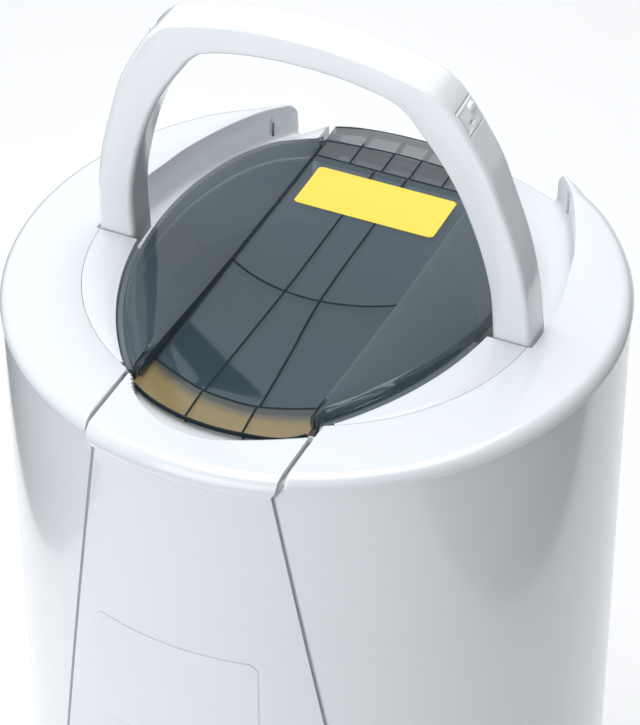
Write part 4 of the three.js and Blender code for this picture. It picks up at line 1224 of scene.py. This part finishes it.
@dataclass
class Lid:
    """The smoked lid: two lobes, a clear brim, the sunken band with its rails and cells, and the label."""

    wall: float = 2.2
    lobe_back: float = 118.4
    lobe_dome: float = 1.9
    brim_end_y: float = -14.6
    cells_y: float = 105.0
    rear_cells_y: float = 123.0
    label_box: tuple[float, float, float, float] = (-42.5, 42.5, 60.0, 96.0)
    nose: tuple[Point2, ...] = ((-51.0, -119.5), (-38.0, -127.0), (-24.0, -132.0), (-10.0, -134.8),
                                (6.0, -135.4), (20.0, -134.0), (34.0, -131.5), (44.0, -127.0), (51.0, -119.5))
    cross_rail: tuple[Point2, ...] = ((-51.0, -96.0), (-36.0, -102.5), (-15.0, -110.0), (0.0, -111.6),
                                      (16.0, -111.0), (34.0, -105.0), (51.0, -96.5))
    long_lines: tuple = (([(18.6, -110.4), (14.6, -66.0), (9.4, -14.0), (8.2, 57.0), (7.8, 104.0)],
                          [(17.2, -111.0), (19.7, -133.2)]),
                         ([(-13.6, -110.6), (-13.0, -85.0), (-11.4, -12.0), (-11.8, 57.0), (-12.0, 104.0)],
                          [(-14.4, -111.0), (-13.0, -133.4)]))

    def band_height(self, y: float) -> float:
        """Height of the band's surface along the lid, in mm."""
        return TOP + between(y, [(-136.0, -3.4), (-108.0, -4.0), (-90.0, -3.8), (60.0, -2.2), (105.0, -1.3),
                                 (139.0, -0.4), (145.0, -1.4)])

    def lobe_edge(self, y: float) -> float:
        """Height of a lobe's inner edge along the lid, in mm."""
        return TOP + between(y, [(-117.0, 2.6), (-80.0, 1.0), (-40.0, -0.9), (0.0, -1.8), (60.0, -1.5),
                                 (121.0, -0.6)])

    def smoked(self, surface: Surface, name: str, finish: Finish = SMOKE_RIB, wall: float = 0.0,
               side: float = -1.0, sharp: float = 35.0, replaced: Sequence[str] = ()) -> None:
        """Builds one of the lid's see-through pieces and dresses it.

        Args:
            surface: its faces.
            name: the piece's name.
            finish: its finish.
            wall: the thickness in mm, or 0 for a closed solid.
            side: -1 puts the wall behind the faces, 1 in front.
            sharp: edges that turn by more than this many degrees stay sharp.
            replaced: the CAD nodes it stands for.
        """
        piece = surface.build(name, finish, sharp)
        if wall:
            thickened(piece, wall, side)
        dress(piece, Body.LID, replaced)

    def make(self) -> None:
        """Builds every piece of the lid."""
        self.make_lobes()
        self.make_brim()
        self.make_band()
        self.make_walls()
        self.make_rails()
        self.make_hinge_arms()
        self.make_label()

    def lobe_row(self, edge: Point2, share: float) -> list[Point3]:
        """One section of the right lobe, from the band's side to its skirt.

        Args:
            edge: the point of the lid's outline where it ends.
            share: how far along the outline that is, from 0 at the front to 1.

        Returns:
            The points.
        """
        px, py = edge
        qy = LID_TIP_Y + (self.lobe_back - LID_TIP_Y) * share
        inner = self.lobe_edge(qy)
        outer = TOP + between(share, [(0.0, 0.6), (0.2, 0.2), (1.0, 0.0)])
        span = max(math.hypot(px - BAND_HALF, py - qy), 1e-3)
        line = [(min(run / span, 0.4), inner - 0.3 * (1.0 - run)) for run in (0.3, 1.0)]
        for t in [k / 12 for k in range(1, 12)]:
            dome = self.lobe_dome * math.sin(math.pi * t) * min(span / 45.0, 1.0)
            line.append((t, inner + (outer - inner) * t + dome))
        for run, fall in ((2.2, 0.15), (0.9, 0.8), (0.2, 1.9), (0.0, 3.2), (0.0, 11.0)):
            line.append((max(1.0 - run / span, 0.93 if span < 3 else 0.0), outer - fall))
        made = [(BAND_HALF, qy, self.band_height(qy) - 2.0), (BAND_HALF, qy, inner - 1.0)]
        return made + [(BAND_HALF + (px - BAND_HALF) * t, qy + (py - qy) * t, z) for t, z in line]

    def make_lobes(self) -> None:
        """Builds the two domed side lobes with rounded edges."""
        outline = lid_side(0.0)
        length = [0.0]
        for (ax, ay), (bx, by) in zip(outline, outline[1:]):
            length.append(length[-1] + math.hypot(bx - ax, by - ay))
        rows = [self.lobe_row(edge, run / length[-1]) for edge, run in zip(outline, length)]
        rows[-1] = [(BAND_HALF, self.lobe_back + 0.2, z) for _, _, z in rows[-1]]
        for side, label in SIDES:
            sheet = Surface().loft(flipped(rows, side))
            self.smoked(sheet, f"lid_lobe_{label}", SMOKE_LOBE, self.wall, sharp=50.0,
                        replaced=("lid",) if side > 0 else ())

    def make_brim(self) -> None:
        """Builds the thin clear flange outside the front of the lobes."""
        high, low = TOP - 1.0, TOP - 3.0
        rows = [[(ax, ay, high), (bx - 0.4, by, high - 0.3), (bx, by, high - 0.7), (bx - 0.1, by, low),
                 (ax, ay, low)]
                for (ax, ay), (bx, by) in zip(lid_side(-0.4), lid_side(4.9)) if by <= self.brim_end_y]
        for side, label in SIDES:
            self.smoked(capped(flipped(rows, side)), f"lid_brim_{label}", BRIM)

    def band_front(self, x: float) -> float:
        """Where the band's front edge lies at a distance across, in mm."""
        return between(x, spline(self.nose, 4))

    def band_back(self, x: float) -> float:
        """Where the band's back edge lies at a distance across, in mm."""
        return 144.0 - 8.0 * (abs(x) / 49.0) ** 2.4

    def cell_front(self, x: float) -> float:
        """Where the front cross rail lies at a distance across, in mm."""
        return between(x, spline(self.cross_rail, 4))

    def band_sheet(self, name: str, start: Line, end: Line, steps: int, finish: Finish,
                   lip: bool = False) -> None:
        """Builds a stretch of the band between two lines across it.

        Args:
            name: the piece's name.
            start: the front line, as y for each x.
            end: the back line.
            steps: rows along the stretch.
            finish: its finish.
            lip: whether the front edge turns down.
        """
        across = [(BAND_HALF - 0.35) * (2 * j / 52 - 1) for j in range(53)]
        rows = []
        for t in [i / steps for i in range(steps + 1)]:
            line = [(x, start(x) + (end(x) - start(x)) * t) for x in across]
            rows.append([(x, y, self.band_height(y)) for x, y in line])
        if lip:
            rows.insert(0, [(x, y - 0.1, z - 1.4) for x, y, z in rows[0]])
        self.smoked(Surface().loft(rows), name, finish, self.wall)

    def make_band(self) -> None:
        """Builds the band: front cells with a lip, the long middle and the back cells."""
        self.band_sheet("lid_front_cells", self.band_front, self.cell_front, 14, AMBER, lip=True)
        self.band_sheet("lid_band", self.cell_front, lambda x: self.cells_y, 60, SMOKE)
        self.band_sheet("lid_mid_cells", lambda x: self.cells_y, lambda x: self.rear_cells_y, 8, CELL_DARK)
        self.band_sheet("lid_back_cells", lambda x: self.rear_cells_y, self.band_back, 10, CELL)

    def make_walls(self) -> None:
        """Builds the faces that rise from the band to the lobes, warm near the front."""
        stretches = (("tip", -112.6, -76.0, WARM_WALL), ("long", -76.0, 118.0, SMOKE_WALL))
        for side, name in SIDES:
            for label, start, end, finish in stretches:
                rows = []
                for y in [start + (end - start) * i / 32 for i in range(33)]:
                    low, high = self.band_height(y), self.lobe_edge(y)
                    rows.append([(50.7, y, low - 0.2), (50.7, y, high - 0.9), (50.9, y, high - 0.3)])
                sheet = Surface().loft(flipped(rows, side))
                self.smoked(sheet, f"lid_wall_{label}_{name}", finish, 0.2, side)

    def rail(self, name: str, line: Sequence[Point2], width: float = 1.5, depth: float = 4.4) -> None:
        """Builds one rail under the band along a line.

        Args:
            name: the piece's name.
            line: (x, y) points along it.
            width: how wide it is.
            depth: how deep it hangs.
        """
        rows = []
        for i, (x, y) in enumerate(line):
            ax, ay = line[max(i - 1, 0)]
            bx, by = line[min(i + 1, len(line) - 1)]
            away = Vector((by - ay, ax - bx)).normalized() * width / 2
            top = self.band_height(y) + 0.03
            rows.append([(x + away.x * share, y + away.y * share, z) for share, z in (
                (1.0, top), (-1.0, top), (-0.7, top - depth), (0.7, top - depth))])
        self.smoked(capped(rows), name)

    def make_rails(self) -> None:
        """Builds the rails: two long ones that fan out, the arc, the cross rails and the cell dividers."""
        for (_, label), (line, front) in zip(SIDES, self.long_lines):
            self.rail(f"rail_long_{label}", spline(line, 8))
            self.rail(f"rail_front_{label}", front, 1.4)
        self.rail("rail_arc", [(x, 74.0 - math.sqrt(91.0 ** 2 - x * x)) for x in self.across(50.0)])
        for side, label in SIDES:
            rows = []
            for i in range(11):
                x, y, low, high = BAND_HALF + 0.6 + 2.3 * i, -0.6 + 0.33 * i, TOP - 4.0, TOP - 1.75 + 0.17 * i
                front, back = y - 0.7, y + 0.7
                rows.append([(x, front, low), (x, back, low), (x, back, high), (x, front, high)])
            self.smoked(capped(flipped(rows, side)), f"rail_lobe_{label}")
        across = self.across(BAND_HALF * 0.98)
        self.rail("rail_front_cross", [(x, self.cell_front(x)) for x in across], 1.6)
        self.rail("rail_front_edge", [(x, self.band_front(x) + 0.25) for x in across], 1.0, 2.4)
        self.rail("rail_back_cross", [(x, self.cells_y + 0.5) for x in across], 1.3)
        self.rail("rail_rear_cross", [(x, 124.5 - 4.5 * (x / 50.0) ** 2) for x in across], 1.3)
        for i, x in enumerate((-28.5, -8.5, 8.5, 28.5)):
            line = [(x, 106.0), (x, 124.0), (x * 1.02, self.band_back(x) - 1.5)]
            self.rail(f"rail_back_{i + 1}", line, 1.3)
        self.rail("rail_back_edge", [(x, self.band_back(x) - 1.2) for x in across], 1.2, 5.0)

    def across(self, half: float) -> list[float]:
        """Even places from one side of the band to the other."""
        return [half * (i / 12 - 1) for i in range(25)]

    def make_hinge_arms(self) -> None:
        """Builds the two arms that carry the lid on its pin."""
        outline = [(118.5, TOP - 5.0), (134.0, TOP - 5.0), *arc(LID_PIVOT, LUG_R, 50.0, -130.0, 12),
                   (118.5, TOP - 11.0)]
        for side, label in SIDES:
            arm = capped([[(side * x, y, z) for y, z in outline] for x in (47.0, 53.0)])
            self.smoked(arm, f"lid_arm_{label}")

    def make_label(self) -> None:
        """Builds the bare yellow label."""
        sheet = film(*self.label_box, 1.4, (40, 8), lambda x, y: (x, y, self.band_height(y) + 0.05))
        dress(thickened(sheet.build("lid_film", YELLOW), 0.25, 1.0), Body.LID, ("lid_label",))


# ---------------------------------------------------------------- the handle


@dataclass
class CarryHandle:
    """The folding handle: a soft-edged arch with a sprung tongue and a nub on each outer side."""

    pivot: Point2 = (-6.03, TOP - 4.5)
    lean: float = 5.71
    ahead: float = 3.5
    depth: float = 22.6
    edge: float = 3.2
    tongue_tilt: float = 29.0
    tongue_spot: Point3 = (91.9, 2.77, 137.0)
    grooves: tuple = (((-1.0, -3.4, 7.4), (6.0, 20.0, 8.0)), ((-1.0, -3.4, -7.6), (6.0, 20.0, -7.0)),
                      ((-1.0, -2.9, -5.4), (6.0, -2.4, 5.8)), ((-1.6, 3.0, -3.4), (6.0, 5.4, -1.6)))

    def along(self, z: float) -> float:
        """Turns a height above the top plane into a distance from the pivot along the leaning arch."""
        return 1.005 * (z + 4.5) + 0.35

    def lifted(self, line: Sequence[Point2]) -> list[Point2]:
        """Smooths an outline, moved from heights above the top plane to distances from the pivot."""
        return spline([(x, self.along(z)) for x, z in line], 9)

    def stations(self) -> list[tuple[Point2, Point2]]:
        """Pairs of outer and inner points from the right foot to the top of the arch.

        Returns:
            (outer, inner) pairs in the arch's own plane, heights from the pivot.
        """
        outer = [(129.0, -5.0), (128.7, 0.0), (126.7, 30.0), (121.4, 60.0), (112.6, 90.0), (106.0, 110.0),
                 (95.9, 130.0), (89.9, 140.0), (82.8, 149.2), (73.6, 156.0), (56.0, 161.3), (34.0, 165.6),
                 (12.0, 167.8), (0.0, 168.0)]
        inner = [(106.7, -5.0), (106.6, 0.0), (105.4, 30.0), (99.3, 60.0), (89.2, 90.0), (79.1, 110.0),
                 (66.8, 128.5), (62.0, 135.0), (56.0, 140.4), (50.0, 143.0), (42.0, 145.2), (28.0, 147.8),
                 (12.0, 149.3), (0.0, 149.6)]
        return list(zip(self.lifted(outer), self.lifted(inner)))

    def section(self, outer: Point2, inner: Point2) -> list[Point3]:
        """One rounded section of the arch.

        Args:
            outer: the point on the outside.
            inner: the point on the inside.

        Returns:
            Points round the section, in the arch's own frame.
        """
        across = Vector((outer[0] - inner[0], outer[1] - inner[1]))
        width, r, back = across.length, self.edge, self.depth - self.ahead
        across.normalize()
        corners = [(width - r, -self.ahead + r, -90.0), (width - r, back - r, 0.0), (r, back - r, 90.0),
                   (r, -self.ahead + r, 180.0)]
        made = []
        for cu, cv, start in corners:
            for u, v in arc((cu, cv), r, start, start + 90.0, 6):
                made.append((inner[0] + across.x * u, v, inner[1] + across.y * u))
        return made

    def place(self, point: Point3) -> Point3:
        """Leans a point forwards and puts it on the pivot.

        Args:
            point: across, depth from the pivot and distance along the arch.

        Returns:
            The point in the part's frame.
        """
        a = math.radians(self.lean)
        x, v, w = point
        y = self.pivot[0] + v * math.cos(a) - w * math.sin(a)
        return (x, y, self.pivot[1] + v * math.sin(a) + w * math.cos(a))

    def leg_end(self, section: Sequence[Point3]) -> list[list[Point3]]:
        """Rows that close a leg round its pivot, inside the circle that it turns in.

        Args:
            section: the leg's lowest full section.

        Returns:
            Rows from the section down to the end.
        """
        back = self.depth - self.ahead
        ends = ((-1.4, -3.5, 0.0), (-2.4, -3.2, 0.5), (-3.2, -2.5, 0.9), (-3.9, -1.0, 1.3), (-4.1, 0.0, 1.5))
        return [[(x, min(max(v, front), back - trim), depth) for x, v, _ in section]
                for depth, front, trim in ends]

    def make(self) -> None:
        """Builds the arch, cuts the tongues' grooves and adds the nubs."""
        half = [self.section(outer, inner) for outer, inner in self.stations()]
        half[0] = [(x, v, 0.5) for x, v, _ in half[0]]
        rows = list(reversed(self.leg_end(half[0]))) + half
        rows += flipped(list(reversed(rows[:-1])), -1.0)
        arch = capped([[self.place(point) for point in row] for row in rows])
        piece = arch.build("handle_arch", LIT_HANDLE_WHITE, 60.0)
        for side, label in reversed(SIDES):
            frame = self.side_frame(side)
            for low, high in self.grooves:
                cut(piece, block(low, high, frame))
            self.make_nub(frame, label)
        dress(piece, Body.HANDLE, ("carry_handle",))

    def side_frame(self, side: float) -> Matrix:
        """The place of a tongue: x out of the side face, y towards the back, z up along the arm.

        Args:
            side: 1 for the right, -1 for the left.

        Returns:
            The placing, in mm.
        """
        x, y, z = self.tongue_spot
        lean = Matrix.Rotation(math.radians(self.lean), 4, "X")
        tilt = Matrix.Rotation(math.radians(-self.tongue_tilt * side), 4, "Y")
        spot = Matrix.Translation((side * x, y, self.along(z)))
        flip = Matrix.Diagonal((side, 1.0, 1.0, 1.0))
        return Matrix.Translation((0.0, self.pivot[0], self.pivot[1])) @ lean @ spot @ tilt @ flip

    def make_nub(self, frame: Matrix, label: str) -> None:
        """Builds the soft rounded nub of one tongue.

        Args:
            frame: the tongue's place.
            label: its side, for the name.
        """
        rows = []
        for t in [math.radians(90.0 * i / 8) for i in range(9)]:
            grow = math.cos(t)
            row = []
            for a in [2 * math.pi * j / 28 for j in range(28)]:
                c, s = math.cos(a), math.sin(a)
                y = 9.8 + (1.6 + 1.6 * grow) * math.copysign(abs(c) ** 0.7, c)
                z = 2.8 + (0.8 + 1.8 * grow) * math.copysign(abs(s) ** 0.8, s)
                row.append(tuple(frame @ Vector((1.9 * math.sin(t) - 0.6, y, z))))
            rows.append(row)
        dress(capped(rows).build(f"handle_nub_{label}", LIT_HANDLE_WHITE), Body.HANDLE)


# ---------------------------------------------------------------- base, ports and inside


@dataclass
class Base:
    """What the machine stands on: the base pan, four feet and the casing's screws."""

    foot_circle: float = 138.0
    screw_circle: float = 171.6
    screw_head: float = 4.2
    screw_z: float = 49.0

    def make(self) -> None:
        """Builds the pan, feet and screws."""
        pan = [(0.01, 12.3), (162.0, 12.3), (166.5, 13.4), (170.2, 16.4), (172.2, 20.5), (172.5, 24.0),
               (172.5, 39.2), (171.7, 40.0), (168.8, 40.0), (168.8, 56.0), (166.3, 56.0), (166.3, 21.0),
               (161.0, 15.3), (0.01, 15.3)]
        white_moulding(turned(pan, steps=144), "pan_moulding", replaced=("base_pan",))
        foot = [(0.01, 0.0), (14.2, 0.0), (15.0, 0.6), (17.0, 2.8), (17.0, 4.0), (15.2, 11.2), (14.4, 12.0),
                (0.01, 12.0)]
        for i in range(4):
            a = math.radians(45.0 + 90.0 * i)
            spot = (self.foot_circle * math.cos(a), self.foot_circle * math.sin(a), 0.0)
            piece = turned(foot, spot, 48).build(f"rubber_foot_{i + 1}", RUBBER)
            dress(piece, Body.HOUSING, (f"foot_{i + 1}",))
        self.make_screws()

    def screw_tree(self) -> bpy.types.NodeTree:
        """Builds a Geometry Nodes tree that sets four domed heads on a ring, facing outwards.

        Returns:
            A tree with Ring Radius and Head Radius inputs.
        """
        tree = bpy.data.node_groups.new("screw_ring", "GeometryNodeTree")
        tree.interface.new_socket("Geometry", in_out="OUTPUT", socket_type="NodeSocketGeometry")
        for label in ("Ring Radius", "Head Radius"):
            tree.interface.new_socket(label, in_out="INPUT", socket_type="NodeSocketFloat")

        def add(kind: str, **values: object) -> bpy.types.Node:
            """Adds one node.

            Args:
                kind: its type.
                values: for each input, a value or the socket that feeds it.

            Returns:
                The node.
            """
            node = tree.nodes.new(kind)
            for label, value in values.items():
                if isinstance(value, bpy.types.NodeSocket):
                    tree.links.new(value, node.inputs[label])
                else:
                    node.inputs[label].default_value = value
            return node

        source, sink = add("NodeGroupInput"), add("NodeGroupOutput")
        circle = add("GeometryNodeMeshCircle", Vertices=4, Radius=source.outputs["Ring Radius"])
        ring = add("GeometryNodeTransform", Geometry=circle.outputs["Mesh"],
                   Rotation=(0.0, 0.0, math.radians(45.0)), Translation=(0.0, 0.0, self.screw_z * MM))
        ball = add("GeometryNodeMeshUVSphere", Segments=20, Rings=12, Radius=source.outputs["Head Radius"])
        head = add("GeometryNodeTransform", Geometry=ball.outputs["Mesh"], Scale=(1.0, 1.0, 0.42))
        level = add("ShaderNodeVectorMath")
        level.operation = "MULTIPLY"
        level.inputs[1].default_value = (1.0, 1.0, 0.0)
        tree.links.new(add("GeometryNodeInputPosition").outputs["Position"], level.inputs[0])
        out = add("FunctionNodeAlignRotationToVector", Vector=level.outputs["Vector"])
        heads = add("GeometryNodeInstanceOnPoints", Points=ring.outputs["Geometry"],
                    Instance=head.outputs["Geometry"], Rotation=out.outputs["Rotation"])
        real = add("GeometryNodeRealizeInstances", Geometry=heads.outputs["Instances"])
        paint = add("GeometryNodeSetMaterial", Geometry=real.outputs["Geometry"], Material=STEEL.material())
        tree.links.new(paint.outputs["Geometry"], sink.inputs["Geometry"])
        return tree

    def make_screws(self) -> None:
        """Sets the casing's screw heads and makes them one plain mesh."""
        piece = Surface([(0.0, 0.0, self.screw_z)], []).build("casing_screw_heads", STEEL)
        rule = piece.modifiers.new("ring", "NODES")
        rule.node_group = self.screw_tree()
        sizes = {"Ring Radius": self.screw_circle * MM, "Head Radius": self.screw_head * MM}
        for socket in rule.node_group.interface.items_tree:
            if socket.name in sizes:
                rule[socket.identifier] = sizes[socket.name]
        piece = applied(piece)
        for face in piece.data.polygons:
            face.use_smooth = True
        dress(piece, Body.HOUSING)


class Ports:
    """The drain spout and the cord gland low on the back."""

    def make(self) -> None:
        """Builds both as smooth turned pieces."""
        spout = [(7.0, 126.0), (13.0, 126.0), (13.0, 128.6), (10.4, 129.2), (9.6, 131.0), (9.5, 171.0),
                 (10.2, 172.2), (10.2, 174.4), (9.4, 175.4), (7.6, 175.4), (7.0, 174.6)]
        piece = turned(spout, (-PORT_X, 0.0, PORT_Z), 48, Axis.FRONT_TO_BACK).build("spout_nozzle", GREY)
        dress(piece, Body.HOUSING, ("drain_spout",))
        gland = [(3.4, 128.0), (7.0, 128.0), (7.0, 131.0), (10.0, 131.0), (10.0, 133.6), (7.4, 134.2),
                 (6.8, 150.0), (6.2, 157.2), (5.4, 158.0), (3.9, 158.0), (3.4, 157.4)]
        piece = turned(gland, (PORT_X, 0.0, PORT_Z), 40, Axis.FRONT_TO_BACK).build("cord_sleeve", BLACK)
        dress(piece, Body.HOUSING, ("cord_gland",))


@dataclass
class Drum:
    """The steel drum and hub, seen faintly through the lid and plainly when it is open."""

    radius: float = 114.0
    mouth: float = 94.0
    bottom: float = 226.0
    top: float = 520.0
    dimple: float = 0.35
    sheet: float = 1.2

    def make(self) -> None:
        """Builds the drum wall with pressed dimples, its floor and the hub."""
        r, low, top, mouth, sheet = self.radius, self.bottom, self.top, self.mouth, self.sheet
        outside = []
        for i in range(25):
            swell = self.dimple * math.cos(2 * math.pi * i / 4)
            outside.append((r - self.dimple + swell, low + 12.0 + (top - low - 24.0) * i / 24))
        inside = [(x - sheet, z) for x, z in reversed(outside)]
        wall = [(10.0, low), (r - 6.0, low), (r - 1.8, low + 1.8), (r, low + 6.0), *outside]
        wall += [(r, top - 1.0), (r - 1.0, top), (mouth + 0.6, top), (mouth, top - 0.6),
                 (mouth + 0.6, top - sheet), (r - 2.0, top - sheet), *inside]
        wall += [(r - 1.4, low + 6.5), (r - 6.5, low + sheet), (10.0, low + sheet)]
        piece = turned(wall, steps=128).build("drum_shell", DRUM_STEEL)
        dress(piece, Body.DRUM, ("spin_drum",))
        hub = [(6.3, 1.5), (40.0, 1.5), (40.0, 3.0), (38.0, 6.0), (28.0, 13.0), (20.0, 22.0), (15.5, 32.0),
               (12.5, 40.0), (9.0, 44.0), (0.01, 45.0), (0.01, 38.0), (6.3, 38.0)]
        piece = turned(hub, (0.0, 0.0, low), 72).build("hub_cone", INNER)
        dress(piece, Body.DRUM, ("drum_hub",))


class Inside:
    """The finishes of the CAD nodes, most of which stay as they are."""

    finishes: dict[str, Finish] = {
        "zinc_steel": STEEL, "grey_metal": SATIN_METAL, "cast_alloy": CAST, "stator_core": CORE,
        "inner_plastic": INNER, "black_rubber": RUBBER, "black_plastic": BLACK, "red_plastic": RED,
        "grey_plastic": GREY, "capacitor_shell": SHELL, "white_plastic": WHITE, "smoked_plastic": SMOKE,
        "yellow_label": YELLOW, "plain_label": PAPER, "drum_steel": DRUM_STEEL,
    }

    def make(self, frame: dict) -> None:
        """Gives every CAD node its finish from the record's slots.
        """
        for part in frame["record"]["subparts"]:
            node = frame["nodes"][part["node"]]
            node.data.materials.clear()
            node.data.materials.append(self.finishes[part["material_slot"]].material())


# ---------------------------------------------------------------- the picture


@dataclass
class Studio:
    """The camera at the photograph's view, the pale floor, the soft light and the reflected cards."""

    azimuth: float = 24.946
    elevation: float = 38.515
    roll: float = -0.171
    position: Point3 = (603.46, -1293.52, 1655.58)
    focal_px: float = 3286.109
    height_px: float = 725.0
    sensor: float = 36.0
    view_end: float = 50.0
    aim: Point3 = (0.0, 0.0, 0.5)
    floor_half: float = 6000.0

    def camera(self) -> None:
        """Makes the camera, with no shift."""
        a, e, r = (math.radians(v) for v in (self.azimuth, self.elevation, self.roll))
        back = Vector((math.sin(a) * math.cos(e), -math.cos(a) * math.cos(e), math.sin(e)))
        right = Vector((math.cos(a), math.sin(a), 0.0))
        up = back.cross(right)
        right, up = right * math.cos(r) + up * math.sin(r), up * math.cos(r) - right * math.sin(r)
        lens = bpy.data.cameras.new("camera")
        lens.sensor_width = self.sensor
        lens.sensor_fit = "AUTO"
        lens.lens = lens.sensor_width * self.focal_px / self.height_px
        lens.clip_end = self.view_end
        made = bpy.data.objects.new("camera", lens)
        turn = Matrix((right, up, back)).transposed().to_4x4()
        made.matrix_world = Matrix.Translation(Vector(self.position) * MM) @ turn
        bpy.context.scene.collection.objects.link(made)
        bpy.context.scene.camera = made

    def light(self, name: str, place: Point3, size: float, power: float,
              tint: Point3 = (1.0, 1.0, 1.0)) -> None:
        """Makes one square soft light aimed at the top of the machine.

        Args:
            name: its name.
            place: where it hangs, in metres.
            size: its side in metres.
            power: in watts.
            tint: its colour.
        """
        lamp = bpy.data.lights.new(name, "AREA")
        lamp.size = size
        lamp.energy = power
        lamp.color = tint
        made = bpy.data.objects.new(name, lamp)
        made.location = place
        made.rotation_euler = (Vector(self.aim) - Vector(place)).to_track_quat("-Z", "Y").to_euler()
        made.visible_camera = False
        bpy.context.scene.collection.objects.link(made)

    def floor(self) -> None:
        """Makes the pale floor."""
        side = self.floor_half
        made = Surface().fan([(-side, -side, 0.0), (side, -side, 0.0), (side, side, 0.0), (-side, side, 0.0)])
        finish = Finish("pale_floor", (0.97, 0.97, 0.97), (0.96, 0.96, 0.96), 0.7, 0.05, 4.0, 0.0)
        made.build("floor", finish)

    def card(self, name: str, glow: float, corners: Sequence[Point3]) -> None:
        """Makes a card that only shows as a reflection in glossy surfaces.

        Args:
            name: its name.
            glow: how bright it is; at 0 it shows dark.
            corners: its corners in mm.
        """
        black = Finish(name, (0.0, 0.0, 0.0), (0.0, 0.0, 0.0))
        piece = Surface().fan(corners).build(name, black)
        shader = piece.data.materials[0].node_tree.nodes["Principled BSDF"]
        shader.inputs["Emission Color"].default_value = (0.94, 0.98, 1.05, 1.0)
        shader.inputs["Emission Strength"].default_value = glow
        piece.visible_camera = False
        piece.visible_diffuse = False
        piece.visible_transmission = False
        piece.visible_shadow = False

    def world(self) -> None:
        """Makes the surround, bright on the left and dim on the right."""
        made = bpy.data.worlds.new("studio")
        made.use_nodes = True
        shade = made.node_tree.nodes["Background"]
        shade.inputs["Color"].default_value = (0.93, 0.96, 1.0, 1.0)
        nodes, links = made.node_tree.nodes, made.node_tree.links
        where = nodes.new("ShaderNodeTexCoord")
        split = nodes.new("ShaderNodeSeparateXYZ")
        links.new(where.outputs["Generated"], split.inputs["Vector"])
        fade = _ramp(made.node_tree, split.outputs["X"], (-0.7, 0.8), (0.80, 0.08))
        links.new(fade, shade.inputs["Strength"])
        bpy.context.scene.world = made

    def make(self) -> None:
        """Builds the whole picture."""
        bpy.context.scene.view_settings.view_transform = "Standard"
        self.camera()
        self.world()
        self.floor()
        self.light("front_box", (-0.3, -2.5, 1.4), 1.8, 24.0, (0.97, 0.985, 1.0))
        self.light("overhead", (-0.2, 0.2, 3.0), 2.4, 63.0)
        self.card("back_card", 1.15, [(-3600.0, 2600.0, 1300.0), (2200.0, 4000.0, 1300.0),
                                      (2200.0, 4000.0, 5200.0), (-3600.0, 2600.0, 5200.0)])
        self.card("band_flag", 0.0, [(-1448.0, 2450.0, 2909.0), (-1407.0, 2450.0, 2863.0),
                                     (-1261.0, 2450.0, 2995.0), (-1378.0, 2450.0, 3005.0)])
        left = [(-4000.0, -3000.0), (-640.0, -3000.0), (-605.0, 400.0), (-605.0, 3000.0), (-4000.0, 3000.0)]
        right = [(730.0, -3000.0), (4000.0, -3000.0), (4000.0, 3000.0), (640.0, 3000.0), (590.0, 400.0),
                 (640.0, 80.0), (700.0, -400.0)]
        for name, outline in (("left_edge", left), ("right_edge", right)):
            self.card(name, 0.0, [(x, y, 1.0) for x, y in outline])


def main() -> None:
    """Builds the looks of the whole machine."""
    logging.basicConfig(level=logging.INFO, format="%(name)s %(message)s")
    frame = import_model()
    Studio().make()
    Inside().make(frame)
    TopCover().make()
    InnerRing().make()
    Casing().make()
    PullLever().make()
    Lid().make()
    CarryHandle().make()
    Base().make()
    Ports().make()
    Drum().make()


if __name__ == "__main__":
    main()
